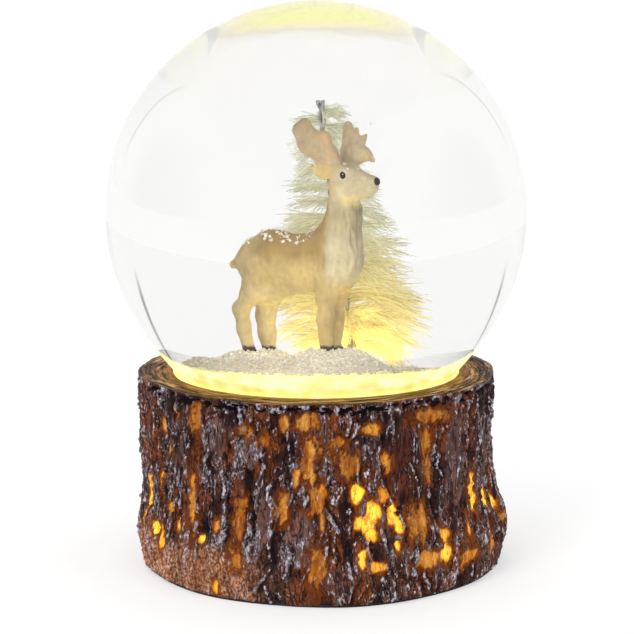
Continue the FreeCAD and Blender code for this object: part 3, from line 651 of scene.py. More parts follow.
# Paint for the bark as (value, colour) stops
BLACK = (0.006, 0.003, 0.005)
SCORCHED = (0.020, 0.005, 0.002)
RED_BROWN = (0.068, 0.017, 0.008)
MAUVE = (0.145, 0.078, 0.066)
# Painted light: the glow's orange on the wood near the cup
WOOD_LIT_BY_GLOW = (0.34, 0.14, 0.025)
STAIN = (
    (0.36, (0.014, 0.005, 0.004)), (0.46, (0.034, 0.011, 0.008)),
    (0.54, (0.085, 0.024, 0.010)), (0.64, (0.085, 0.040, 0.034)),
)
RUST = ((0.35, (0.060, 0.013, 0.004)), (0.65, (0.215, 0.054, 0.011)))
MOTTLES = ((0.30, (0.45, 0.40, 0.40)), (0.50, (1.0, 1.0, 1.0)), (0.70, (1.5, 1.25, 1.1)))
GRANITE = ((0.36, (0.12, 0.033, 0.011)), (0.48, (0.43, 0.150, 0.055)), (0.62, (0.76, 0.45, 0.29)))
AMBER = (
    (0.26, (0.052, 0.011, 0.003)), (0.45, (0.13, 0.030, 0.004)), (0.62, (0.21, 0.056, 0.007)),
    (0.78, (0.33, 0.125, 0.018)), (0.98, (0.50, 0.250, 0.050)),
)
LILAC = ((0.36, (0.10, 0.08, 0.10)), (0.50, (0.25, 0.23, 0.27)), (0.62, (0.64, 0.62, 0.68)))
LIT_SPOTS = (
    (0.0, (0, 0, 0)), (0.12, (0.045, 0.009, 0.0)), (0.33, (0.22, 0.060, 0.002)),
    (0.58, (0.70, 0.28, 0.008)), (0.84, (1.0, 0.66, 0.035)),
)
WOOD = (
    (0.425, (0.006, 0.003, 0.003)), (0.47, (0.13, 0.045, 0.012)),
    (0.54, (0.37, 0.16, 0.038)), (0.61, (0.68, 0.44, 0.21)),
)


class BarkShader(Shader):
    """Dark stained resin: mauve and rust plates, pale ridges, black cracks, painted shade in the hollows and
    in the chips under the top edge, amber where the stain is thin.
    """

    def __init__(self):
        super().__init__("bark")
        self.fine = self.noise(0.5, detail=3, stretch=(1, 1, 1.7))
        self.flow = self.noise(2.4, detail=3, stretch=(1, 1, 3.2), distort=0.6)
        self.strand = self.noise(1.5, detail=2, stretch=(1, 1, 6.5), distort=0.5)
        self.middle = self.noise(3.6, detail=4, stretch=(1, 1, 2.4))
        self.crumbly = self.attribute("crumbly")
        self.thin = self.attribute("thin")
        self.cracks = self.crack_lines()
        self.veins = self.vein_lines()
        self.worn = self.worn_stain()
        self.patch = self.times(self.span(self.worn, 0.24, 0.50), self.span(self.thin, 0.02, 0.2))
        base = self.dry_brushed(self.ambered(self.cracked(self.stained())))
        # Painted shade: black in the chips under the top edge
        base = self.mix(self.span(self.attribute("shaded"), 0.3, 0.6), base, BLACK)
        self.colour(self.mix(self.attribute("ring"), base, self.ring_wood()))
        self.set(Specular_IOR_Level=0.10)
        self.rough(self.span(self.fine, 0.3, 0.7, 0.36, 0.7))
        self.light_up()
        self.bump(self.plus(self.fine, self.times(self.minus(self.veins, self.cracks), 0.6)), 0.30, 0.8)

    def outline(self, value, level, width):
        """Thin lines where a noise crosses a level."""
        away = self.math("ABSOLUTE", self.minus(value, level))
        return self.span(away, width * 0.35, width, 1.0, 0.0)

    def crack_lines(self):
        lines = self.most(self.outline(self.flow, 0.56, 0.025), self.outline(self.strand, 0.46, 0.030))
        return self.times(lines, self.span(self.crumbly, 0.2, 0.8, 1.0, 0.3))

    def vein_lines(self):
        lines = self.most(self.outline(self.strand, 0.52, 0.026), self.outline(self.flow, 0.50, 0.020))
        return self.times(lines, self.span(self.middle, 0.45, 0.58))

    def worn_stain(self):
        """How far the stain is worn off, with a broken edge."""
        worn = self.swayed(self.thin, self.flow, 1.1)
        worn = self.swayed(worn, self.fine, 0.45)
        return self.swayed(worn, self.strand, 0.7)

    def stained(self):
        """Dark stain with rusty areas, plates of two tones and a grainy foot."""
        wide = self.noise(9.0, detail=3, stretch=(1, 1, 1.6))
        stain, rust = self.colours(self.middle, STAIN), self.colours(self.fine, RUST)
        base = self.mix(self.span(wide, 0.45, 0.58), stain, rust)
        plate = self.mix(self.attribute("tone"), RED_BROWN, MAUVE)
        plate = self.mix(1.0, plate, self.colours(self.flow, MOTTLES), "MULTIPLY")
        base = self.mix(self.attribute("plate"), base, plate)
        grainy = self.times(self.crumbly, self.span(self.middle, 0.40, 0.56, 0.45, 0.95))
        return self.mix(grainy, base, self.colours(self.fine, GRANITE))

    def cracked(self, base):
        base = self.mix(self.times(self.cracks, 0.85), base, BLACK)
        # Painted shade: black in the hollows and in the grooves next to the pale ridges
        return self.mix(self.attribute("deep_shade"), base, BLACK)

    def ambered(self, base):
        """The bare resin shows where the stain is worn, inside a scorched outline."""
        base = self.mix(self.patch, base, self.colours(self.worn, AMBER))
        return self.mix(self.times(self.outline(self.worn, 0.56, 0.055), 0.7), base, SCORCHED)

    def dry_brushed(self, base):
        """Pale lilac paint on the veins, the crests and the ridges."""
        crest = self.swayed(self.attribute("crest"), self.fine, 0.7)
        brushed = self.most(self.times(self.veins, 0.8), self.span(crest, 0.80, 0.98))
        brushed = self.times(brushed, self.span(self.patch, 0.1, 0.7, 1.0, 0.15))
        brushed = self.times(brushed, self.span(self.crumbly, 0.3, 1.0, 1.0, 0.5))
        pale = self.times(self.attribute("pale"), self.span(self.fine, 0.30, 0.42, 0.75, 1.0))
        brushed = self.most(brushed, self.span(pale, 0.28, 0.6))
        return self.mix(self.times(brushed, 0.85), base, self.colours(self.fine, LILAC))

    def light_up(self):
        """The LEDs' light in the thin spots, broken by the stain that is left and by the cracks."""
        through_stain = self.span(self.patch, 0.2, 0.9, 0.2, 1.0)
        broken = self.times(through_stain, self.span(self.cracks, 0.2, 0.9, 1.0, 0.5))
        self.glow(self.colours(self.times(self.attribute("bright"), broken), LIT_SPOTS), 1.0)

    def ring_wood(self):
        """Fine rings of grain on the stump's top, darker towards the bark, with the glow's light painted on
        in orange near the cup.
        """
        radius = self.attribute("radius")
        along_radius = self.node("ShaderNodeCombineXYZ")
        self.join(radius, along_radius.inputs[0])
        place = self.node("ShaderNodeVectorMath", operation="MULTIPLY_ADD")
        self.join(self.node("ShaderNodeTexCoord").outputs["Object"], place.inputs[0])
        place.inputs[1].default_value = (95, 95, 95)
        self.join(along_radius.outputs[0], place.inputs[2])
        lines = self.node("ShaderNodeTexNoise", Scale=1.25, Detail=5.0, Roughness=0.65)
        self.join(place.outputs[0], lines.inputs["Vector"])
        darker = self.span(radius, 37.0, 42.5, 0.0, 0.045)
        wood = self.colours(self.minus(lines.outputs["Fac"], darker), WOOD)
        return self.mix(self.span(radius, 34.0, 37.5, 0.75, 0.0), wood, WOOD_LIT_BY_GLOW)


def lug(angle):
    """A boss inside the stump for a plate screw."""
    bevel = 0.4
    top_edge = [(LUG_R - bevel, LUG_TOP), (LUG_R, LUG_TOP - bevel)]
    verts, faces = lathe([(0, LUG_TOP), *top_edge, (LUG_R, LUG_BOTTOM), (0, LUG_BOTTOM)], 24)
    x, y = LUG_RADIUS * math.cos(math.radians(angle)), LUG_RADIUS * math.sin(math.radians(angle))
    return verts + (x, y, 0), faces


def on_columns(r, z):
    """A point for each column of the bark grid, at these radii and heights."""
    return np.stack([r * np.cos(BARK_TURNS), r * np.sin(BARK_TURNS), z], axis=1)


def bark_rows(height):
    """Radius and height of each row of the outer wall, from the foot up."""
    foot_edge = 0.55 + 0.35 * fractal(on_columns(STUMP_R, 0 * BARK_TURNS), 6.0, 97, 3)
    rows = []
    for relief, z in zip(height, BARK_HEIGHTS):
        droop = np.clip(STUMP_BOTTOM - foot_edge, 0, 1) * ramp(-z, -5.0, -STUMP_BOTTOM)
        rows.append((stump_radius(BARK_TURNS, z) + relief, z - droop))
    return rows


def top_rows(edge):
    """The wood on top, gently swelling, from the bark's edge in to the cup."""
    rows = []
    for t in np.linspace(0, 1, TOP_ROWS)[1:]:
        r = edge - 0.25 + (CUP_R - edge + 0.25) * t
        p = on_columns(r, r)
        swell = 0.22 * fractal(p, (7, 7, 0.9), 91, 2) + 0.35 * fractal(p, (14, 14, 14), 95, 2)
        rows.append((r, STUMP_TOP + swell * math.sin(math.pi * min(1, 0.12 + t)) - 0.15 * t))
    return rows


def inner_rows(foot):
    """The cup's floor, the hole for the neck, the cavity and the bottom edge."""
    corners = (
        (NECK_HOLE_R, CUP_FLOOR), (NECK_HOLE_R, CAVITY_TOP), (CAVITY_R, CAVITY_TOP),
        (CAVITY_R, STUMP_BOTTOM), (foot - 1.0, STUMP_BOTTOM + 0.02),
    )
    return [np.broadcast_arrays(r, z, BARK_TURNS)[:2] for r, z in corners]


def stump():
    height, masks = bark_wall()
    outer = bark_rows(height)
    rows = outer + top_rows(outer[-1][0]) + inner_rows(outer[0][0])
    verts = np.concatenate([on_columns(r, z) for r, z in rows])
    first = np.arange(BARK_COLUMNS)
    last = first + (len(rows) - 1) * BARK_COLUMNS
    closing = np.stack([last, np.roll(last, -1), np.roll(first, -1), first], axis=1)
    faces = np.vstack([grid_faces(len(rows), BARK_COLUMNS), closing])
    verts, faces = joined([(verts, faces)] + [lug(angle) for angle in LUG_ANGLES])
    piece = new_piece("bark_stump", verts, faces, [BarkShader().material])
    off_the_bark = {"crest": 0.5, "ring": 1.0}
    for name, mask in masks.items():
        values = np.full(len(verts), off_the_bark.get(name, 0.0))
        values[: len(mask)] = mask
        paint(piece, name, values)
    paint(piece, "radius", np.hypot(verts[:, 0], verts[:, 1]))
    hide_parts("stump_shell")


# ---------------------------------------------------------------- sculpting

# The distance in clay that nothing has been pressed onto
EMPTY = 9.0


def bone_distance(points, start, r_start, end, r_end):
    """Distance from a tapered bone with round ends, close enough for sculpting."""
    start, end = np.array(start, float), np.array(end, float)
    axis = end - start
    t = np.clip((points - start) @ axis / max(axis @ axis, 1e-9), 0, 1)
    return np.linalg.norm(points - start - t[..., None] * axis, axis=-1) - (r_start + (r_end - r_start) * t)


def blended(a, b, reach):
    """The union of two distances with a smooth fillet about reach wide."""
    h = np.clip(0.5 + 0.5 * (b - a) / reach, 0, 1)
    return b + (a - b) * h - reach * h * (1 - h)


class Clay:
    """A sampled distance field that tapered bones are pressed onto."""

    def __init__(self, low, high, step):
        self.low = np.array(low, float)
        self.step = step
        counts = np.ceil((np.array(high) - self.low) / step).astype(int) + 1
        self.field = np.full(counts, EMPTY, np.float32)

    def add(self, start, r_start, end, r_end, thin=(1, 1, 1), fillet=1.2):
        """Thin squeezes the bone along each axis about its start."""
        reach = max(r_start, r_end) + 2.5
        low = np.minimum(start, end) - reach
        high = np.maximum(start, end) + reach
        first = np.clip(((low - self.low) / self.step).astype(int), 0, None)
        last = np.minimum(((high - self.low) / self.step).astype(int) + 2, self.field.shape)
        window = tuple(slice(a, b) for a, b in zip(first, last))
        axes = [self.low[k] + self.step * np.arange(first[k], last[k]) for k in range(3)]
        points = np.stack(np.meshgrid(*axes, indexing="ij"), axis=-1)
        squeeze = np.array(thin, float)
        base = np.array(start, float)
        squeezed_end = base + (np.array(end, float) - base) / squeeze
        distance = bone_distance((points - base) / squeeze + base, start, r_start, squeezed_end, r_end)
        self.field[window] = blended(self.field[window], distance * squeeze.min(), fillet)

    def skin(self):
        """Points and quads on the zero surface."""
        inside = self.field < 0
        cells = np.array(self.field.shape) - 1
        count = np.zeros(cells)
        total = np.zeros((*cells, 3))

        def corner(offset):
            return self.field[tuple(slice(o, o + n) for o, n in zip(offset, cells))]

        for axis in range(3):
            for near in np.ndindex(2, 2, 2):
                if near[axis]:
                    continue
                far = tuple(1 if k == axis else near[k] for k in range(3))
                a, b = corner(near), corner(far)
                crossing = (a < 0) != (b < 0)
                t = np.where(crossing, a / np.where(crossing, a - b, 1), 0)
                count += crossing
                for k in range(3):
                    total[..., k] += crossing * (near[k] + (t if k == axis else 0))
        active = count > 0
        index = np.full(cells, -1)
        index[active] = np.arange(active.sum())
        middle = total[active] / count[active][:, None]
        verts = self.low + self.step * (np.argwhere(active) + middle)
        faces = []
        for axis in range(3):
            order = (axis, (axis + 1) % 3, (axis + 2) % 3)
            side = np.transpose(inside, order)
            cell = np.transpose(index, order)
            change = side[:-1, 1:-1, 1:-1] != side[1:, 1:-1, 1:-1]
            i, j, k = np.nonzero(change)
            corners = ((j, k), (j + 1, k), (j + 1, k + 1), (j, k + 1))
            quad = np.stack([cell[i, at_j, at_k] for at_j, at_k in corners], axis=1)
            outward = side[:-1, 1:-1, 1:-1][i, j, k]
            faces.append(np.where(outward[:, None], quad, quad[:, ::-1]))
        return verts, np.vstack(faces)


def normals_of(verts, faces):
    """Smooth normals at the points of a quad mesh."""
    a, b, c, d = (verts[faces[:, k]] for k in range(4))
    face_normal = np.cross(c - a, d - b)
    out = np.zeros_like(verts)
    for k in range(4):
        np.add.at(out, faces[:, k], face_normal)
    return out / np.maximum(np.linalg.norm(out, axis=1, keepdims=True), 1e-9)


# ---------------------------------------------------------------- deer

DEER_AT = np.array([-2.5, -5.5, BALL_Z])
DEER_TURN = math.radians(-30.0)
# Grid step of the clay
DEER_STEP = 0.28

# Places on the head, in the deer's own frame and on its left
EYE = (10.0, 2.25, 8.55)
# The glint is a white bead on each eye, a painted highlight
EYE_GLINT = (10.2, 2.64, 8.75)
NOSE = (16.2, 0, 7.5)

# Bones on the deer's middle plane as two (x, z, radius) ends, with the body's width and the fillet
SPINE = (
    ((6.6, -8.6, 5.2), (1.0, -8.7, 5.0), 0.72, 1.2),
    ((1.0, -8.7, 5.0), (-6.0, -8.3, 5.1), 0.72, 1.2),
    ((-6.0, -8.3, 5.1), (-9.2, -8.8, 4.0), 0.8, 1.2),
    ((8.2, -7.8, 4.1), (7.6, -10.4, 3.4), 0.8, 1.2),
    ((4.2, -5.6, 2.6), (7.4, -3.4, 3.2), 0.8, 2.0),
    ((7.6, -4.6, 4.2), (8.9, 0.5, 3.1), 0.86, 2.0),
    ((8.9, 0.5, 3.1), (9.1, 6.0, 2.8), 0.86, 1.2),
    ((9.0, 7.2, 2.9), (10.4, 7.4, 2.6), 0.86, 0.8),
    ((9.2, 5.6, 2.6), (14.0, 6.3, 1.75), 0.8, 0.8),
    ((11.0, 8.0, 1.9), (15.0, 7.4, 1.2), 0.85, 0.8),
    ((15.1, 6.2, 1.2), (15.4, 7.3, 1.0), 1, 0.5),
    ((-12.0, -8.2, 1.0), (-13.9, -9.5, 0.8), 1, 0.8),
)

# Joints of the hind legs from the thigh down, as (x, z, radius)
NEAR_HIND_LEG = ((-8.9, -14.0, 2.1), (-11.3, -17.1, 1.35), (-10.9, -20.6, 1.1), (-9.9, -24.2, 1.15))
FAR_HIND_LEG = ((-8.2, -14.8, 2.2), (-8.6, -18.6, 1.6), (-8.4, -21.5, 1.35), (-8.0, -24.2, 1.2))

# Bones of the antlers as start, radius, end, radius, all written for the left side
NEAR_ANTLER = (
    ((8.7, 1.3, 9.4), 1.4, (6.9, 2.8, 12.0), 2.3), ((6.9, 2.8, 12.0), 2.3, (4.0, 4.4, 14.8), 2.6),
    ((4.0, 4.4, 14.8), 2.3, (3.4, 5.2, 18.2), 1.3), ((4.0, 4.4, 14.6), 2.3, (2.2, 5.4, 17.0), 1.4),
    ((6.8, 3.2, 12.6), 2.0, (7.3, 4.6, 15.9), 1.4),
)
FAR_ANTLER = (
    ((9.0, 1.3, 9.4), 1.4, (8.6, 2.6, 12.0), 2.0), ((8.3, 3.0, 12.4), 1.7, (7.0, 4.6, 16.6), 1.0),
    ((8.9, 3.2, 12.4), 1.7, (8.9, 4.8, 16.2), 0.4), ((9.4, 3.0, 12.2), 1.9, (10.9, 4.6, 15.2), 0.4),
    ((9.6, 2.4, 11.0), 1.7, (11.6, 3.4, 11.9), 1.1), ((11.6, 3.4, 11.9), 1.1, (13.4, 3.0, 10.9), 0.5),
)


def to_scene(points):
    """From the deer's own frame to the shared one: x is forwards, y its left, z up from the ball's centre."""
    c, s = math.cos(DEER_TURN), math.sin(DEER_TURN)
    x, y, z = np.asarray(points, float).T
    return np.stack([c * x - s * y, s * x + c * y, z], axis=1) + DEER_AT


def deer_clay():
    """The whole casting: trunk, neck and head, then legs, brows, ears and antlers."""
    clay = Clay((-17, -9, -27.5), (18.5, 9, 20), DEER_STEP)
    for (x0, z0, r0), (x1, z1, r1), width, fillet in SPINE:
        clay.add((x0, 0, z0), r0, (x1, 0, z1), r1, (1, width, 1), fillet)
    for side in (-1, 1):
        clay.add((6.7, 1.7 * side, -9.8), 2.7, (6.2, 2.0 * side, -14.5), 1.75)
        clay.add((6.2, 2.0 * side, -14.5), 1.75, (6.0, 1.9 * side, -18.8), 1.3)
        clay.add((6.0, 1.9 * side, -18.8), 1.5, (5.9, 1.5 * side, -23.6), 1.3)
        clay.add((6.1, 1.5 * side, -24.3), 1.3, (6.8, 1.5 * side, -24.9), 1.1, fillet=0.3)
        clay.add((10.4, 1.5 * side, 9.2), 0.9, (9.2, 1.7 * side, 9.1), 0.8, fillet=0.8)
    clay.add((-2.0, -0.6, -11.6), 2.4, (-7.6, 0.6, -14.0), 2.8, (1, 0.8, 1), 2.0)
    hind_leg(clay, -1, NEAR_HIND_LEG)
    hind_leg(clay, 1, FAR_HIND_LEG)
    for side in (-1, 1):
        clay.add((7.8, 1.7 * side, 8.2), 0.7, (6.0, 3.1 * side, 9.0), 1.25, (1, 0.55, 1), 0.6)
        clay.add((6.0, 3.1 * side, 9.0), 1.25, (4.5, 4.4 * side, 9.9), 0.45, (1, 0.55, 1), 0.6)
    antler(clay, -1, NEAR_ANTLER)
    antler(clay, 1, FAR_ANTLER)
    return clay


def hind_leg(clay, side, stations):
    y = 2.2 * side
    thigh_x, thigh_z, thigh_r = stations[0]
    clay.add((-8.0, 1.6 * side, -10.0), 3.1, (thigh_x, y, thigh_z), thigh_r)
    for (x0, z0, r0), (x1, z1, r1) in zip(stations, stations[1:]):
        clay.add((x0, y, z0), r0, (x1, y, z1), r1)
    x, z, _ = stations[-1]
    clay.add((x + 0.2, y, z - 0.7), 1.15, (x + 1.3, y, z - 1.4), 0.95, fillet=0.3)


def antler(clay, side, tines):
    for (x0, y0, z0), r0, (x1, y1, z1), r1 in tines:
        clay.add((x0, y0 * side, z0), r0, (x1, y1 * side, z1), r1, (1, 0.55, 1), 0.5)


def bead(centre, facing, half_w, half_h, bulge):
    """A small lens set on a surface, for an eye or the nose."""
    facing = np.array(facing, float) / np.linalg.norm(facing)
    right = np.cross(facing, (0, 0, 1))
    right /= np.linalg.norm(right)
    up = np.cross(right, facing)
    verts, faces = lathe([(0.0, 1.0)] + arc((0, 0), 1.0, 75, -75, 9) + [(0.0, -1.0)], 20)
    verts = verts[:, :1] * half_w * right + verts[:, 1:2] * half_h * up + verts[:, 2:] * bulge * facing
    return verts + np.array(centre, float), faces


def eye_bead(side, place, size):
    """A lens on one side of the head, facing outwards."""
    x, y, z = place
    return bead((x, y * side, z), (0.1, side, 0.1), *size)


def near(points, centre, radius, soft):
    """1 within a radius of a place, fading to 0."""
    return ramp(radius - np.linalg.norm(points - np.array(centre, float), axis=1), -soft, soft)


def mixed(base, colour, amount):
    """Colours moved towards one colour, by an amount for each point."""
    return base + (np.array(colour, float) - base) * np.asarray(amount)[:, None]


def deer_paint(p):
    """The airbrushed colours by place in the deer's own frame."""
    x, y, z = p.T
    patchy = fractal(p, 5.0, 301, 3)
    fine = fractal(p, (0.9, 0.9, 1.6), 311, 2)
    horns = ramp(z, 9.9, 10.9) * ramp(np.abs(y), 0.9, 1.6)
    colour = head_paint(body_paint(p, patchy), p)
    colour = mixed(colour, (0.60, 0.46, 0.27), horns)
    colour = mixed(colour, (0.80, 0.63, 0.38), horns * ramp(y, 0.5, 1.5))
    colour = mixed(colour, (0.62, 0.39, 0.20), horns * ramp(patchy, 0.1, 0.7) * 0.6)
    for side in (-1, 1):
        colour = mixed(colour, (0.74, 0.66, 0.46), near(p, (10.0, 2.1 * side, 8.55), 1.2, 0.5))
        in_ear = near(p, (6.0, 3.3 * side, 9.2), 2.0, 0.6) * (1 - horns)
        colour = mixed(colour, (0.70, 0.52, 0.22), in_ear)
    hooves = ramp(-24.0 - z + 0.25 * fine, -0.12, 0.12)
    colour = mixed(colour, (0.045, 0.024, 0.014), hooves)
    return np.clip(colour * (1 + 0.12 * fine + 0.17 * patchy)[:, None], 0, 1)


def body_paint(p, patchy):
    """Tan back, golden flanks, cream hind legs, gold rump, grey neck and pale chest."""
    x, _, z = p.T
    colour = np.tile((0.42, 0.275, 0.085), (len(p), 1))
    colour = mixed(colour, (0.62, 0.46, 0.19), ramp(-8.5 - z + 1.3 * patchy, -2.5, 2.5))
    colour = mixed(colour, (0.70, 0.60, 0.34), ramp(-13.5 - z + patchy, -2.0, 3.0) * ramp(4.0 - x, 0, 3))
    colour = mixed(colour, (0.66, 0.50, 0.23), ramp(-6.5 - x + patchy, -1.0, 3.0) * 0.7)
    neck = ramp(x - 6.2 + 0.5 * patchy, -0.4, 1.6) * ramp(z, -11.5, -6.5)
    colour = mixed(colour, (0.52, 0.45, 0.27), neck * 0.85)
    chest = ramp(x - 6.8, 0, 1.5) * ramp(-2.5 - z, -1.5, 2.0) * ramp(z, -13.5, -10.5)
    return mixed(colour, (0.66, 0.57, 0.36), chest * 0.85)


def head_paint(colour, p):
    """A pale head, browner at its back, with a yellow throat."""
    x, _, z = p.T
    head = ramp(z, 3.0, 4.8)
    throat = ramp(z, 1.8, 3.2) * ramp(5.2 - z, 0, 1.2) * ramp(x, 8.5, 11.0)
    colour = mixed(colour, (0.655, 0.555, 0.345), head * 0.95)
    colour = mixed(colour, (0.58, 0.40, 0.19), head * ramp(8.6 - x, -1, 1.2) * 0.6)
    return mixed(colour, (0.76, 0.62, 0.28), throat)


def fur_relief(p):
    """Grooves that follow the neck and chest, and a light texture elsewhere."""
    x, y, z = p.T
    mane = ramp(x, 4.5, 7.0) * ramp(z, -11.5, -8.0) * ramp(4.0 - z, 0, 2.0)
    around = np.arctan2(y, x - 7.6) * 3.0
    locks = np.stack([around, np.zeros_like(z), z], axis=1)
    grooves = 1 - 2.4 * np.abs(fractal(locks, (0.75, 1.0, 5.0), 321, 2))
    legs = ramp(-10 - z, 0, 3)
    soft = fractal(p, (1.5, 1.5, 3.5), 331, 2)
    return 0.26 * mane * grooves + 0.10 * soft * (1 + legs)


def deer():
    """Makes the deer and returns the points on its back and brow where flakes have settled."""
    verts, faces = deer_clay().skin()
    normals = normals_of(verts, faces)
    colour = deer_paint(verts)
    verts = verts + normals * fur_relief(verts)[:, None]
    black, white = (0.006, 0.005, 0.005), (0.9, 0.9, 0.9)
    beads = [(eye_bead(side, EYE, (0.62, 0.78, 0.46)), black) for side in (-1, 1)]
    beads.append((bead(NOSE, (1, 0, 0.2), 0.8, 0.8, 0.55), black))
    beads += [(eye_bead(side, EYE_GLINT, (0.10, 0.12, 0.08)), white) for side in (-1, 1)]
    parts = [(verts, faces.tolist())] + [lens for lens, _ in beads]
    colours = [colour] + [np.tile(tone, (len(lens[0]), 1)) for lens, tone in beads]
    all_verts, all_faces = joined(parts)
    piece = new_piece("deer", to_scene(all_verts), all_faces, [deer_material()])
    layer = piece.data.color_attributes.new("paint", "FLOAT_COLOR", "POINT")
    rgba = np.concatenate([np.vstack(colours), np.ones((len(all_verts), 1))], axis=1)
    layer.data.foreach_set("color", rgba.astype(np.float32).ravel())
    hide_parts("deer_figurine")
    back = (normals[:, 2] > 0.55) & (verts[:, 0] < 3.0) & (verts[:, 2] > -7.0) & (verts[:, 2] < 0)
    brow = (normals[:, 2] > 0.5) & (verts[:, 2] > 9.0) & (verts[:, 2] < 11.6)
    return to_scene(verts[back]), to_scene(verts[brow])


def deer_material():
    shader = Shader("deer_resin")
    painted = shader.node("ShaderNodeVertexColor", layer_name="paint").outputs["Color"]
    speck = shader.noise(0.7, detail=3)
    shade = shader.colours(speck, [(0.3, (0.86, 0.84, 0.82)), (0.7, (1.0, 1.0, 1.0))])
    shader.colour(shader.mix(1.0, painted, shade, "MULTIPLY"))
    shader.set(Specular_IOR_Level=0.2)
    shader.rough(shader.span(speck, 0.3, 0.7, 0.42, 0.6))
    shader.bump(speck, 0.08, 0.5)
    return shader.material


# ---------------------------------------------------------------- tree

TREE_FOOT = np.array([6.6, 11.0, 55.6])
TREE_TIP = np.array([0.7, 11.0, 102.2])
STEM_LENGTH = np.linalg.norm(TREE_TIP - TREE_FOOT)
STEM_AXIS = (TREE_TIP - TREE_FOOT) / STEM_LENGTH
# Lengths of stem without bristles: below the lowest coil, and at both ends together
BARE_FOOT = 4.5
BARE_ENDS = 7.0
TUFTS = 420
BRISTLES = 6600
BRISTLE_POINTS = 5
BRISTLE_SIDES = 3
COIL_PITCH = 2.9
# No bristle droops below this height, near the top of the snow
HANG_Z = 57.0
WIRE_R = 0.38
WIRE_TWIST = 5.2
WIRE_POINTS = 260

# How far the bristles reach at each rise above the foot
TREE_OUTLINE = (
    (3.0, 8.5), (5.0, 12.2), (8.5, 13.3), (14.0, 12.2), (20.5, 10.2), (31.0, 6.7), (42.0, 4.2), (46.0, 3.0),
)


def swept_tubes(paths, radii, sides):
    """Tubes along many paths at once, given as (tubes, points, 3), with radii for each point."""
    tubes, points, _ = paths.shape
    ahead = np.gradient(paths, axis=1)
    ahead /= np.maximum(np.linalg.norm(ahead, axis=2, keepdims=True), 1e-9)
    helper = np.where(np.abs(ahead[..., 2:]) < 0.9, (0.0, 0.0, 1.0), (1.0, 0.0, 0.0))
    right = np.cross(ahead, helper)
    right /= np.linalg.norm(right, axis=2, keepdims=True)
    up = np.cross(right, ahead)
    turn = np.arange(sides) * TAU / sides
    ring = right[:, :, None] * np.cos(turn)[:, None] + up[:, :, None] * np.sin(turn)[:, None]
    verts = (paths[:, :, None] + ring * np.asarray(radii)[..., None, None]).reshape(-1, 3)
    one = grid_faces(points, sides)[:, ::-1]
    faces = (one[None] + (np.arange(tubes) * points * sides)[:, None, None]).reshape(-1, 4)
    start = np.arange(sides)
    caps = [start, (points - 1) * sides + start[::-1]]
    caps = np.array(caps)[None] + (np.arange(tubes) * points * sides)[:, None, None]
    return verts, faces.tolist() + caps.reshape(-1, sides).tolist()


def bristle_paths(rng):
    """The middle lines of the strands, in drooping tufts along the coils, trimmed to a cone."""
    tuft_turn = rng.uniform(0, TAU, TUFTS)
    coil = np.floor((STEM_LENGTH - BARE_ENDS) / COIL_PITCH * rng.uniform(0, 1, TUFTS) ** 1.2)
    tuft_rise = BARE_FOOT + COIL_PITCH * (coil + tuft_turn / TAU) + rng.normal(0, 0.25, TUFTS)
    tuft_sag = rng.uniform(-0.15, 0.28, TUFTS)
    tuft_reach = rng.uniform(0.78, 1.08, TUFTS)
    pick = rng.integers(0, TUFTS, BRISTLES)
    rise = tuft_rise[pick] + rng.normal(0, 0.35, BRISTLES)
    turn = tuft_turn[pick] + rng.normal(0, 0.10, BRISTLES)
    sag = tuft_sag[pick] + rng.normal(0, 0.07, BRISTLES)
    out = np.stack([np.cos(turn), np.sin(turn), np.zeros(BRISTLES)], axis=1)
    outline = np.interp(rise - 2.5, *zip(*TREE_OUTLINE))
    reach = 0.6 + outline * tuft_reach[pick] * rng.uniform(0.80, 1.03, BRISTLES)
    curl = rng.normal(0, 0.5, (BRISTLES, 3))
    t = np.linspace(0, 1, BRISTLE_POINTS)
    lift = 0.25 * t - (0.25 + sag)[:, None] * t**2
    root = TREE_FOOT + STEM_AXIS * rise[:, None]
    course = out[:, None] * t[:, None] + lift[..., None] * (0, 0, 1)
    paths = root[:, None] + reach[:, None, None] * course + curl[:, None] * (t**2)[:, None]
    paths[..., 2] = np.maximum(paths[..., 2], HANG_Z)
    return paths


def bristles():
    """Strands held in the twisted wire."""
    rng = np.random.default_rng(5)
    radii = np.tile(np.linspace(0.085, 0.045, BRISTLE_POINTS), (BRISTLES, 1))
    verts, faces = swept_tubes(bristle_paths(rng), radii, BRISTLE_SIDES)
    piece = new_piece("tree_bristle_strands", verts, faces, [bristle_material()])
    tone = np.clip(0.5 + 0.2 * rng.normal(size=BRISTLES), 0, 1)
    paint(piece, "tone", np.repeat(tone, BRISTLE_POINTS * BRISTLE_SIDES))
    # How low each point is, for the yellow light painted on from below
    paint(piece, "low", ramp(87 - verts[:, 2], 0, 22))
    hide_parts("tree_bristles")


COOL_BRISTLE = ((0.1, (0.66, 0.66, 0.42)), (0.5, (0.86, 0.85, 0.66)), (0.9, (0.97, 0.96, 0.86)))
# Painted light: the colours of the lower strands lit yellow from below
BRISTLE_LIT_FROM_BELOW = ((0.1, (0.74, 0.60, 0.20)), (0.9, (0.97, 0.90, 0.52)))


